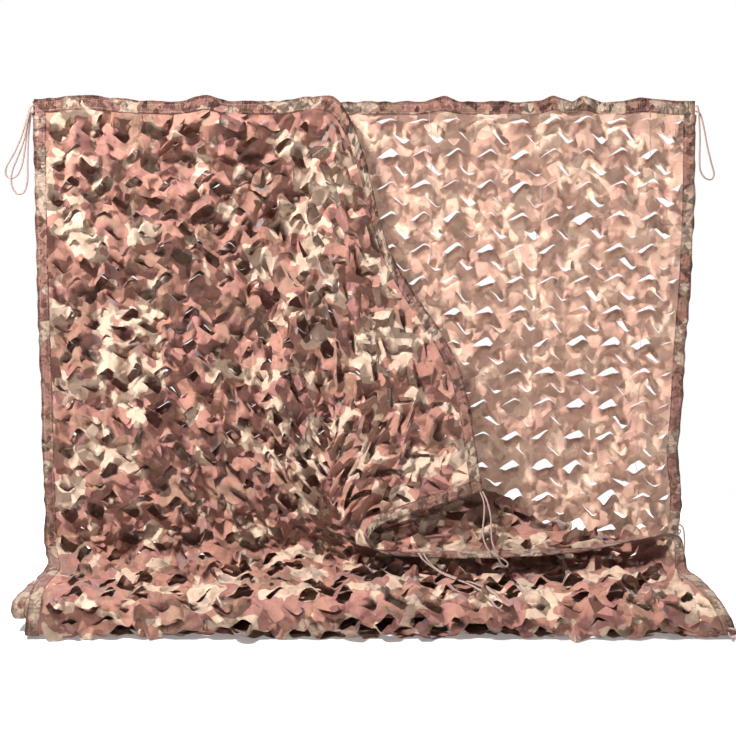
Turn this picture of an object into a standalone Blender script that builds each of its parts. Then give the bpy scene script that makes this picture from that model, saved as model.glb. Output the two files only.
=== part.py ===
"""Camouflage netting, hung by its top hem, folded into a pile and led up again in front.

One long cut cloth starts at the hung top hem, drops to the floor, lies there in a
back-and-forth pile and rises again as a front layer, whose own hem is pinned along the
left of the top edge and then falls freely to a corner above the pile.
Metres, +Z up, +X to the right, -Y towards the viewer, origin in the middle of the top hem.
"""
from collections import namedtuple

import bpy
import numpy as np
from mathutils.geometry import delaunay_2d_cdt

# ---- driving dimensions ----
CLOTH_WIDTH = 1.50
DROP = 1.125                # top hem to floor
TAPE_WIDTH = 0.025          # the bound edge, all round the cloth
NET_THICKNESS = 0.002
TAPE_THICKNESS = 0.0025
JOIN_GAP = 0.0007           # between the cut cloth and its binding tape
CUT_PITCH_ACROSS = 0.122    # cuts of a coarser repeat than the real 0.075 by 0.070
CUT_PITCH_ALONG = 0.118
BEND_LIMIT = 0.75           # a cut is left out where the normals around it agree less
RIM_STEPS = 28              # straight stretches along each hem
LINE_SPACING = 0.06         # between lines across the cloth, at most
SWAG_SPACING = 0.035        # the same where the front layer twists
HAIRPIN_SPACING = 0.012     # the same where its selvage turns back
TIE_DIAMETER = 0.0034

# Places of the seven stations across the cloth, as shares of its width.
STATIONS = np.array((0.0, 0.18, 0.36, 0.45, 0.64, 0.83, 1.0))

# The hung panel: lines across the cloth from the top hem down, with the play in Y of its waves.
Hang = namedtuple("Hang", "drop depth left right sway")
HANGING = (
    Hang(0.000, 0.000, -0.725, 0.725, 0.002),
    Hang(0.100, 0.002, -0.722, 0.726, 0.006),
    Hang(0.250, 0.004, -0.719, 0.728, 0.009),
    Hang(0.410, 0.004, -0.716, 0.722, 0.010),
    Hang(0.540, 0.002, -0.716, 0.716, 0.009),
    Hang(0.680, 0.001, -0.712, 0.712, 0.009),
    Hang(0.790, 0.000, -0.708, 0.707, 0.008),
    Hang(0.880, 0.000, -0.708, 0.718, 0.006),
    Hang(0.970, 0.000, -0.709, 0.712, 0.004),
)

# The pile: height over the floor, depth and ends of each line, with the play in Z of its lumps.
Layer = namedtuple("Layer", "height depth left right lift")
PILE = (
    Layer(0.104, -0.006, -0.712, 0.705, 0.003),
    Layer(0.081, -0.035, -0.722, 0.700, 0.003),
    Layer(0.077, -0.110, -0.735, 0.700, 0.004),
    Layer(0.076, -0.190, -0.742, 0.700, 0.004),
    Layer(0.070, -0.226, -0.746, 0.702, 0.003),
    Layer(0.050, -0.240, -0.748, 0.704, 0.002),
    Layer(0.031, -0.226, -0.748, 0.706, 0.001),
    Layer(0.025, -0.190, -0.746, 0.710, 0.001),
    Layer(0.024, -0.110, -0.740, 0.720, 0.001),
    Layer(0.023, -0.030, -0.734, 0.730, 0.001),
    Layer(0.013, -0.010, -0.730, 0.735, 0.000),
    Layer(0.001, -0.030, -0.726, 0.742, 0.000),
    Layer(0.001, -0.130, -0.722, 0.765, 0.000),
    Layer(0.001, -0.240, -0.716, 0.782, 0.000),
    Layer(0.010, -0.276, -0.712, 0.784, 0.000),
    Layer(0.044, -0.292, -0.706, 0.772, 0.003),
    Layer(0.080, -0.284, -0.702, 0.754, 0.005),
    Layer(0.099, -0.250, -0.698, 0.738, 0.006),
    Layer(0.104, -0.180, -0.694, 0.724, 0.006),
    Layer(0.109, -0.110, -0.694, 0.712, 0.005),
)

# The front layer, from the pile up to its own hem. Its left part hangs level and straight over
# the first three stations. The other four fall in a swag: the selvage runs left along the
# pile, turns back at a hairpin and climbs to the free corner. The gather is the share of
# the level part's width that is lost to small folds.
Swag = namedtuple("Swag", "drop gather shoulder drape fold selvage sway")
FRONT = (
    Swag(0.990, 0.01, (-0.060, -0.046, -0.995), (0.230, -0.054, -1.004),
         (0.545, -0.062, -0.998), (0.694, -0.090, -0.948), 0.003),
    Swag(0.900, 0.03, (-0.100, -0.055, -0.915), (0.135, -0.050, -0.955),
         (0.470, -0.040, -0.966), (0.590, -0.120, -0.952), 0.005),
    Swag(0.800, 0.05, (-0.130, -0.064, -0.825), (0.045, -0.050, -0.900),
         (0.390, -0.036, -0.925), (0.470, -0.146, -0.970), 0.006),
    Swag(0.610, 0.08, (-0.168, -0.072, -0.650), (-0.030, -0.048, -0.815),
         (0.235, -0.036, -0.850), (0.240, -0.162, -0.980), 0.007),
    Swag(0.430, 0.09, (-0.180, -0.064, -0.485), (-0.070, -0.088, -0.690),
         (-0.040, -0.108, -0.892), (0.052, -0.166, -0.972), 0.009),
    Swag(0.340, 0.09, (-0.170, -0.058, -0.390), (-0.072, -0.112, -0.590),
         (-0.075, -0.124, -0.832), (0.010, -0.170, -0.942), 0.009),
    Swag(0.250, 0.07, (-0.148, -0.052, -0.290), (-0.050, -0.116, -0.500),
         (-0.005, -0.126, -0.735), (0.036, -0.162, -0.906), 0.009),
    Swag(0.125, 0.04, (-0.108, -0.044, -0.150), (-0.005, -0.098, -0.415),
         (0.105, -0.118, -0.645), (0.140, -0.150, -0.871), 0.008),
    Swag(0.000, 0.00, (-0.050, -0.033, -0.005), (0.060, -0.060, -0.330),
         (0.203, -0.090, -0.567), (0.258, -0.136, -0.838), 0.004),
)
FRONT_DEPTH = -0.032        # the straight half of the front layer, before the hung panel
FRONT_LEFT = -0.716
FRONT_REACH = 1.45          # the full width of the cloth as it hangs

# Places where the hung hem is pinned a little higher: middle, rise and half width.
Rise = namedtuple("Rise", "middle height spread")
HEM_RISES = (Rise(-0.610, 0.014, 0.085), Rise(-0.345, 0.013, 0.030), Rise(0.172, 0.011, 0.028),
             Rise(0.416, 0.014, 0.022), Rise(0.484, 0.013, 0.020), Rise(0.620, 0.008, 0.040))
HEM_REACH = 0.16            # how far down the rises are felt

# Waves of the cloth: cycles per metre across and along, phase in turns, and share of the play.
Wave = namedtuple("Wave", "across along phase share")
WAVES = (Wave(2.3, 0.6, 0.10, 0.55), Wave(4.1, -1.7, 0.43, 0.35), Wave(1.1, 3.4, 0.71, 0.30))

# One cut: a wide, lopsided V. Offsets across and along from its place in the repeat.
CUT_SHAPE = ((-0.042, -0.014), (0.006, 0.000), (0.038, -0.008), (0.010, 0.016))

# Ties: cord loops sewn to the edge, by the points that each cord passes from end to end.
Tie = namedtuple("Tie", "name route")
TIES = (
    Tie("tie_top_left_back", (
        (-0.7264, 0.0000, -0.0060), (-0.7310, -0.0010, -0.0090), (-0.7390, -0.0050, -0.0360),
        (-0.7500, -0.0090, -0.0720), (-0.7680, -0.0130, -0.1120), (-0.7835, -0.0150, -0.1380),
        (-0.7850, -0.0150, -0.1560), (-0.7740, -0.0140, -0.1640), (-0.7600, -0.0120, -0.1550),
        (-0.7500, -0.0070, -0.1300), (-0.7440, -0.0030, -0.0950), (-0.7400, 0.0005, -0.0580),
        (-0.7350, 0.0015, -0.0330), (-0.7305, 0.0010, -0.0210), (-0.7263, 0.0002, -0.0180))),
    Tie("tie_top_left_front", (
        (-0.7158, -0.0340, -0.0050), (-0.7215, -0.0352, -0.0090), (-0.7295, -0.0390, -0.0400),
        (-0.7370, -0.0420, -0.0780), (-0.7520, -0.0450, -0.1180), (-0.7650, -0.0460, -0.1500),
        (-0.7660, -0.0460, -0.1780), (-0.7560, -0.0450, -0.1960), (-0.7420, -0.0440, -0.1940),
        (-0.7330, -0.0420, -0.1700), (-0.7320, -0.0390, -0.1300), (-0.7305, -0.0360, -0.0900),
        (-0.7265, -0.0335, -0.0500), (-0.7215, -0.0330, -0.0225), (-0.7166, -0.0335, -0.0180))),
    Tie("tie_top_right", (
        (0.7266, 0.0000, -0.0050), (0.7312, -0.0010, -0.0085), (0.7340, -0.0050, -0.0350),
        (0.7360, -0.0085, -0.0750), (0.7360, -0.0110, -0.1150), (0.7380, -0.0130, -0.1460),
        (0.7480, -0.0140, -0.1620), (0.7620, -0.0140, -0.1660), (0.7680, -0.0140, -0.1550),
        (0.7610, -0.0130, -0.1280), (0.7520, -0.0100, -0.0920), (0.7450, -0.0060, -0.0550),
        (0.7385, -0.0010, -0.0280), (0.7330, 0.0010, -0.0195), (0.7266, 0.0000, -0.0180))),
    Tie("tie_free_corner", (
        (0.2535, -0.1350, -0.8400), (0.2575, -0.1375, -0.8480), (0.2620, -0.1420, -0.8660),
        (0.2615, -0.1470, -0.8920), (0.2585, -0.1530, -0.9200), (0.2605, -0.1600, -0.9400),
        (0.2700, -0.1680, -0.9600), (0.2850, -0.1725, -0.9720), (0.2970, -0.1745, -0.9770),
        (0.3090, -0.1755, -0.9850), (0.3125, -0.1760, -0.9915), (0.3070, -0.1768, -0.9955),
        (0.2970, -0.1780, -0.9880), (0.2905, -0.1790, -0.9750), (0.2850, -0.1775, -0.9620),
        (0.2775, -0.1700, -0.9400), (0.2765, -0.1610, -0.9200), (0.2755, -0.1520, -0.8900),
        (0.2685, -0.1435, -0.8600), (0.2625, -0.1375, -0.8460), (0.2585, -0.1344, -0.8387))),
    Tie("tie_pile_front", (
        (0.1290, -0.1558, -0.9729), (0.1298, -0.1620, -0.9700), (0.1350, -0.1720, -0.9780),
        (0.1500, -0.1790, -0.9940), (0.1720, -0.1880, -1.0065), (0.1970, -0.2010, -1.0130),
        (0.2220, -0.2220, -1.0155), (0.2460, -0.2460, -1.0180), (0.2700, -0.2700, -1.0250),
        (0.2840, -0.2860, -1.0335), (0.2900, -0.2950, -1.0430), (0.2860, -0.2990, -1.0510),
        (0.2790, -0.2990, -1.0500), (0.2700, -0.2925, -1.0410), (0.2550, -0.2800, -1.0285),
        (0.2380, -0.2580, -1.0200), (0.2160, -0.2360, -1.0145), (0.1930, -0.2150, -1.0115),
        (0.1680, -0.1990, -1.0040), (0.1460, -0.1870, -0.9920), (0.1270, -0.1760, -0.9790),
        (0.1200, -0.1660, -0.9700), (0.1190, -0.1561, -0.9732))),
    Tie("tie_right_edge", (
        (0.7158, 0.0012, -0.9450), (0.7205, 0.0004, -0.9465), (0.7258, -0.0020, -0.9560),
        (0.7275, -0.0060, -0.9780), (0.7268, -0.0100, -1.0000), (0.7215, -0.0135, -1.0160),
        (0.7135, -0.0150, -1.0200), (0.7060, -0.0150, -1.0130), (0.7032, -0.0140, -0.9960),
        (0.7060, -0.0120, -0.9780), (0.7140, -0.0095, -0.9650), (0.7190, -0.0045, -0.9585),
        (0.7155, 0.0006, -0.9558))),
    Tie("tie_pile_end", (
        (0.7690, -0.2876, -1.0980), (0.7698, -0.2950, -1.0970), (0.7760, -0.3000, -1.0965),
        (0.7820, -0.3010, -1.1000), (0.7840, -0.3010, -1.1070), (0.7800, -0.3005, -1.1130),
        (0.7735, -0.2990, -1.1150), (0.7698, -0.2925, -1.1140), (0.7690, -0.2822, -1.1085))),
)


def blend_weights(knots, places):
    """Weights of a smooth curve through values at the knots, one row for each place."""
    slopes = np.zeros((len(knots), len(knots)))
    for i in range(len(knots)):
        low, high = max(i - 1, 0), min(i + 1, len(knots) - 1)
        slopes[i, high] += 1.0 / (knots[high] - knots[low])
        slopes[i, low] -= 1.0 / (knots[high] - knots[low])
    at = np.clip(np.searchsorted(knots, places, side="right") - 1, 0, len(knots) - 2)
    step = knots[at + 1] - knots[at]
    t = ((places - knots[at]) / step)[:, None]
    eye = np.eye(len(knots))
    return ((2 * t**3 - 3 * t**2 + 1) * eye[at] + (3 * t**2 - 2 * t**3) * eye[at + 1]
            + (t**3 - 2 * t**2 + t) * step[:, None] * slopes[at]
            + (t**3 - t**2) * step[:, None] * slopes[at + 1])


def cloth_lines():
    """The lines across the cloth, hem to hem: station points, play in Y and play in Z."""
    points, sway, lift = [], [], []
    for hang in HANGING:
        xs = hang.left + (hang.right - hang.left) * STATIONS
        points.append([(x, hang.depth, -hang.drop) for x in xs])
        sway.append(hang.sway)
        lift.append(0.0)
    for layer in PILE:
        xs = layer.left + (layer.right - layer.left) * STATIONS
        points.append([(x, layer.depth, layer.height - DROP) for x in xs])
        sway.append(0.0)
        lift.append(layer.lift)
    for swag in FRONT:
        reach = FRONT_REACH * (1.0 - swag.gather)
        straight = [(FRONT_LEFT + reach * share, FRONT_DEPTH, -swag.drop)
                    for share in STATIONS[:3]]
        points.append(straight + [swag.shoulder, swag.drape, swag.fold, swag.selvage])
        sway.append(swag.sway)
        lift.append(0.0)
    return np.array(points), np.array(sway), np.array(lift)


LINES, SWAY, LIFT = cloth_lines()
STEPS = np.linalg.norm(np.diff(LINES, axis=0), axis=2).mean(axis=1)
RUNS = np.concatenate(((0.0,), np.cumsum(STEPS)))       # cloth length at each line
CLOTH_LENGTH = RUNS[-1]
SWAG_START, SWAG_END = RUNS[-10], RUNS[-3]              # where the front layer twists
HAIRPIN_START = RUNS[-5]                                # where its selvage turns back


def drape(across, along):
    """Points in space of the cloth places (across, along), both measured on the flat cloth."""
    across, along = np.asarray(across, float), np.asarray(along, float)
    rows = blend_weights(RUNS, along)
    columns = blend_weights(STATIONS, across / CLOTH_WIDTH)
    places = np.einsum("pr,pc,rcx->px", rows, columns, LINES)
    wave = sum(w.share * np.sin(2 * np.pi * (w.across * across + w.along * along + w.phase))
               for w in WAVES)
    places[:, 1] += wave * np.clip(rows @ SWAY, 0.0, None)
    places[:, 2] += wave * np.clip(rows @ LIFT, 0.0, None)
    for rise in HEM_RISES:
        reach = np.exp(-((places[:, 0] - rise.middle) / rise.spread) ** 2)
        places[:, 2] += rise.height * reach * np.clip(1.0 + places[:, 2] / HEM_REACH, 0.0, 1.0) ** 2
    places[:, 2] = np.maximum(places[:, 2], NET_THICKNESS / 2 - DROP)
    return places


def new_material(name, colour, roughness):
    """A plain Principled material."""
    material = bpy.data.materials.new(name)
    material.use_nodes = True
    shader = material.node_tree.nodes["Principled BSDF"]
    shader.inputs["Base Color"].default_value = (*colour, 1.0)
    shader.inputs["Roughness"].default_value = roughness
    shader.inputs["Metallic"].default_value = 0.0
    return material


def facing(across, along):
    """Unit normals of the draped cloth, from its slopes across and along."""
    reach = 0.002
    slope_across = drape(across + reach, along) - drape(across - reach, along)
    slope_along = drape(across, along + reach) - drape(across, along - reach)
    normals = np.cross(slope_across, slope_along)
    return normals / np.linalg.norm(normals, axis=1, keepdims=True)


def add_sheet(name, across, along, faces, thickness, material, collection):
    """A draped sheet: flat faces laid in space, given their thickness along the cloth's normals.

    The cut cloth and its tapes share these normals, and the walls all round are split along the
    same diagonals, so that the walls stay parallel at each join.
    """
    middle = drape(across, along)
    offset = facing(across, along) * thickness / 2
    count = len(middle)
    sides = {(face[i - 1], face[i]) for face in faces for i in range(len(face))}
    walls = []
    for a, b in sorted(side for side in sides if side[::-1] not in sides):
        if across[a] + along[a] < across[b] + along[b]:
            walls += [(b, a, b + count), (a, a + count, b + count)]
        else:
            walls += [(b, a, a + count), (b, a + count, b + count)]
    under = [tuple(count + i for i in reversed(face)) for face in faces]
    mesh = bpy.data.meshes.new(name)
    mesh.from_pydata(np.vstack((middle + offset, middle - offset)).tolist(), [],
                     [tuple(face) for face in faces] + under + walls)
    mesh.materials.append(material)
    collection.objects.link(bpy.data.objects.new(name, mesh))


def levels(start, end):
    """Cloth lengths from start to end with enough lines for every bend."""
    marks = []
    for low, high in zip(RUNS[:-1], RUNS[1:]):
        spacing = SWAG_SPACING if SWAG_START <= low < SWAG_END else LINE_SPACING
        spacing = HAIRPIN_SPACING if low == HAIRPIN_START else spacing
        count = max(1, int(round((high - low) / spacing)))
        marks.extend(low + (high - low) * i / count for i in range(count))
    return [start] + [m for m in marks if start + 0.006 < m < end - 0.006] + [end]


def cut_outlines(low, high, start, end):
    """The cuts that lie inside the cloth and clear of its sharp bends."""
    outlines = []
    for row in range(int(CLOTH_LENGTH / CUT_PITCH_ALONG)):
        for column in range(int(CLOTH_WIDTH / CUT_PITCH_ACROSS)):
            place = np.array(((column + 0.5) * CUT_PITCH_ACROSS, (row + 0.55) * CUT_PITCH_ALONG))
            outline = place + np.array(CUT_SHAPE)
            inside = (outline[:, 0].min() > low + 0.01 and outline[:, 0].max() < high - 0.01
                      and outline[:, 1].min() > start + 0.01 and outline[:, 1].max() < end - 0.01)
            if not inside:
                continue
            around = place + 2.5 * np.array(CUT_SHAPE)
            normals = facing(around[:, 0], around[:, 1])
            if (normals @ normals.T).min() > BEND_LIMIT:
                outlines.append(outline)
    return outlines


def make_net(material, collection):
    """The cut cloth inside its binding: triangulated flat around the cuts, then draped."""
    low, high = TAPE_WIDTH + JOIN_GAP, CLOTH_WIDTH - TAPE_WIDTH - JOIN_GAP
    start, end = TAPE_WIDTH + JOIN_GAP, CLOTH_LENGTH - TAPE_WIDTH - JOIN_GAP
    marks = levels(start, end)
    rims = np.linspace(low, high, RIM_STEPS + 1)
    cuts = cut_outlines(low, high, start, end)
    middles = np.array([cut.mean(axis=0) for cut in cuts])
    edge = ([(x, start) for x in rims[:-1]] + [(high, m) for m in marks[:-1]]
            + [(x, end) for x in rims[:0:-1]] + [(low, m) for m in marks[:0:-1]])
    flat = list(edge)
    polygons = [list(range(len(edge)))]
    for cut in cuts:
        polygons.append(list(range(len(flat), len(flat) + len(cut))))
        flat.extend(map(tuple, cut))
    close = np.concatenate((rims[2:-1], (high - 0.020, )))
    for mark in marks[1:-1]:
        twisted = SWAG_START < mark < SWAG_END
        for x in close if twisted else rims[2:-1:2]:
            apart = np.abs(middles - (x, mark))
            if not np.any((apart[:, 0] < 0.054) & (apart[:, 1] < 0.028)):
                flat.append((x, mark))
    result = delaunay_2d_cdt(flat, [], polygons, 1, 1e-7, True)
    points, faces, sources = result[0], result[2], result[5]
    kept = [face for face, source in zip(faces, sources) if list(source) == [0]]
    across, along = np.array([tuple(point) for point in points]).T
    add_sheet("net", across, along, kept, NET_THICKNESS, material, collection)


def make_binding(name, across, along, material, collection):
    """A tape of two rows of points between the given cloth places."""
    count = len(across[0])
    faces = [(i, i + 1, count + i + 1, count + i) for i in range(count - 1)]
    add_sheet(name, np.concatenate(across), np.concatenate(along), faces, TAPE_THICKNESS,
              material, collection)


def make_bindings(material, collection):
    """The four tapes: both hems over the whole width, both selvages between them."""
    inner = CLOTH_WIDTH - TAPE_WIDTH
    rims = np.linspace(TAPE_WIDTH + JOIN_GAP, inner - JOIN_GAP, RIM_STEPS + 1)
    xs = np.concatenate(((0.0,), rims, (CLOTH_WIDTH,)))
    for name, first, last in (("binding_top", 0.0, TAPE_WIDTH),
                              ("binding_front", CLOTH_LENGTH - TAPE_WIDTH, CLOTH_LENGTH)):
        make_binding(name, (xs, xs), (xs * 0 + first, xs * 0 + last), material, collection)
    marks = np.array(levels(TAPE_WIDTH + JOIN_GAP, CLOTH_LENGTH - TAPE_WIDTH - JOIN_GAP))
    for name, first, last in (("binding_left", 0.0, TAPE_WIDTH),
                              ("binding_right", inner, CLOTH_WIDTH)):
        make_binding(name, (marks * 0 + last, marks * 0 + first), (marks, marks),
                     material, collection)


def make_tie(tie, material, collection):
    """A round cord along a smooth curve through its route."""
    route = np.array(tie.route)
    steps = np.linalg.norm(np.diff(route, axis=0), axis=1)
    lengths = np.concatenate(((0.0,), np.cumsum(steps)))
    count = int(lengths[-1] / (2.2 * TIE_DIAMETER)) + 1
    points = blend_weights(lengths, np.linspace(0.0, lengths[-1], count)) @ route
    curve = bpy.data.curves.new(tie.name, "CURVE")
    curve.dimensions = "3D"
    curve.bevel_depth = TIE_DIAMETER / 2
    curve.bevel_resolution = 2
    curve.use_fill_caps = True
    spline = curve.splines.new("POLY")
    spline.points.add(count - 1)
    for point, place in zip(spline.points, points):
        point.co = (*place, 1.0)
    curve.materials.append(material)
    collection.objects.link(bpy.data.objects.new(tie.name, curve))


def main():
    """Empty the scene and make the netting."""
    for item in list(bpy.data.objects):
        bpy.data.objects.remove(item)
    collection = bpy.data.collections.new("camouflage_netting")
    bpy.context.scene.collection.children.link(collection)
    cloth = new_material("printed_cloth", (0.36, 0.20, 0.15), 0.8)
    tape = new_material("binding_tape", (0.27, 0.12, 0.09), 0.75)
    cord = new_material("tie_cord", (0.62, 0.42, 0.33), 0.7)
    make_net(cloth, collection)
    make_bindings(tape, collection)
    for tie in TIES:
        make_tie(tie, cord, collection)


main()
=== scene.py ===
"""Camouflage netting: the dressed model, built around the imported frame.

One printed cloth with rows of leaf cuts hangs by its bound top hem, lies in a pile on the floor
and comes up again as a second layer in front. Metres, +Z up, -Y towards the viewer, origin in the
middle of the top hem. On the flat cloth, "across" runs from the left selvage to the right one and
"along" from the hung hem to the free one.
"""

import logging
import math
from dataclasses import dataclass
from enum import Enum

import bpy
import numpy as np
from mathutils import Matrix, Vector


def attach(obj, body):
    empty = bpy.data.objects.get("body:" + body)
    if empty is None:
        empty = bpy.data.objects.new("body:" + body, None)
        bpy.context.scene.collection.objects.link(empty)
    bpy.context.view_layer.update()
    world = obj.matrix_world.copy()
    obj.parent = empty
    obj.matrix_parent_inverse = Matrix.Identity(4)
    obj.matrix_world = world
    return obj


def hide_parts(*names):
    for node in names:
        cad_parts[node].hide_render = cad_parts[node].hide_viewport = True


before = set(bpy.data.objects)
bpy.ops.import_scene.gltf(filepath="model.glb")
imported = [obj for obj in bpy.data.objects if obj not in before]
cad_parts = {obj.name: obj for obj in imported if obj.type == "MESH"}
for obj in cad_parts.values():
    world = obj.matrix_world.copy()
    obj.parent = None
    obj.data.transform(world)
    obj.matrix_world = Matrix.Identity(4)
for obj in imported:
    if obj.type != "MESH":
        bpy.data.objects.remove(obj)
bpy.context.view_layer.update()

LOG = logging.getLogger("netting")
Place = tuple[float, float, float]

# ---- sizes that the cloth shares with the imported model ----
CLOTH_WIDTH = 1.50
DROP = 1.125
TAPE_WIDTH = 0.025
NET_THICKNESS = 0.002
TIE_DIAMETER = 0.0040
FLOOR_GAP = 0.0006              # the leaves stay this far above the floor
TAPE_FLOOR_GAP = 0.0002
CHUNK = 20000                   # points that are placed at once, to fit in memory
TABLE = 160                     # side of the tables of random facets
STATIONS = np.array((0.0, 0.18, 0.36, 0.45, 0.64, 0.83, 1.0))

# The hung panel: drop, depth, left, right, play in Y.
HANGING = (
    (0.000, 0.000, -0.725, 0.725, 0.002), (0.100, 0.002, -0.722, 0.726, 0.006),
    (0.250, 0.004, -0.719, 0.728, 0.009), (0.410, 0.004, -0.716, 0.722, 0.010),
    (0.540, 0.002, -0.716, 0.716, 0.009), (0.680, 0.001, -0.712, 0.712, 0.009),
    (0.790, 0.000, -0.708, 0.707, 0.008), (0.880, 0.000, -0.708, 0.718, 0.006),
    (0.970, 0.000, -0.709, 0.712, 0.004),
)
# The pile: height, depth, left, right, play in Z.
PILE = (
    (0.104, -0.006, -0.712, 0.705, 0.003), (0.081, -0.035, -0.722, 0.700, 0.003),
    (0.077, -0.110, -0.735, 0.700, 0.004), (0.076, -0.190, -0.742, 0.700, 0.004),
    (0.070, -0.226, -0.746, 0.702, 0.003), (0.050, -0.240, -0.748, 0.704, 0.002),
    (0.031, -0.226, -0.748, 0.706, 0.001), (0.025, -0.190, -0.746, 0.710, 0.001),
    (0.024, -0.110, -0.740, 0.720, 0.001), (0.023, -0.030, -0.734, 0.730, 0.001),
    (0.013, -0.010, -0.730, 0.735, 0.000), (0.001, -0.030, -0.726, 0.742, 0.000),
    (0.001, -0.130, -0.722, 0.765, 0.000), (0.001, -0.240, -0.716, 0.782, 0.000),
    (0.010, -0.276, -0.712, 0.784, 0.000), (0.044, -0.292, -0.706, 0.772, 0.003),
    (0.080, -0.284, -0.702, 0.754, 0.005), (0.099, -0.250, -0.698, 0.738, 0.006),
    (0.104, -0.180, -0.694, 0.724, 0.006), (0.109, -0.110, -0.694, 0.712, 0.005),
)
# The front layer: drop, gather, then the shoulder, drape, fold and selvage stations, play in Y.
FRONT = (
    (0.990, 0.01, (-0.060, -0.046, -0.995), (0.230, -0.054, -1.004),
     (0.545, -0.062, -0.998), (0.694, -0.090, -0.948), 0.003),
    (0.900, 0.03, (-0.100, -0.055, -0.915), (0.135, -0.050, -0.955),
     (0.470, -0.040, -0.966), (0.590, -0.120, -0.952), 0.005),
    (0.800, 0.05, (-0.130, -0.064, -0.825), (0.045, -0.050, -0.900),
     (0.390, -0.036, -0.925), (0.470, -0.146, -0.970), 0.006),
    (0.610, 0.08, (-0.168, -0.072, -0.650), (-0.030, -0.048, -0.815),
     (0.235, -0.036, -0.850), (0.240, -0.162, -0.980), 0.007),
    (0.430, 0.09, (-0.180, -0.064, -0.485), (-0.070, -0.088, -0.690),
     (-0.040, -0.108, -0.892), (0.052, -0.166, -0.972), 0.009),
    (0.340, 0.09, (-0.170, -0.058, -0.390), (-0.072, -0.112, -0.590),
     (-0.075, -0.124, -0.832), (0.010, -0.170, -0.942), 0.009),
    (0.250, 0.07, (-0.148, -0.052, -0.290), (-0.050, -0.116, -0.500),
     (-0.005, -0.126, -0.735), (0.036, -0.162, -0.906), 0.009),
    (0.125, 0.04, (-0.108, -0.044, -0.150), (-0.005, -0.098, -0.415),
     (0.105, -0.118, -0.645), (0.140, -0.150, -0.871), 0.008),
    (0.000, 0.00, (-0.050, -0.033, -0.005), (0.060, -0.060, -0.330),
     (0.203, -0.090, -0.567), (0.258, -0.136, -0.838), 0.004),
)
FRONT_DEPTH = -0.032
FRONT_LEFT = -0.716
FRONT_REACH = 1.45
# Pinned peaks of the hung hem: middle, height, half width.
HEM_RISES = ((-0.610, 0.014, 0.085), (-0.345, 0.013, 0.030), (0.172, 0.011, 0.028),
             (0.416, 0.014, 0.022), (0.484, 0.013, 0.020), (0.620, 0.008, 0.040))
HEM_REACH = 0.16
# Long waves of the cloth: cycles per metre across and along, phase in turns, share of the play.
WAVES = ((2.3, 0.6, 0.10, 0.55), (4.1, -1.7, 0.43, 0.35), (1.1, 3.4, 0.71, 0.30))

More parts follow.
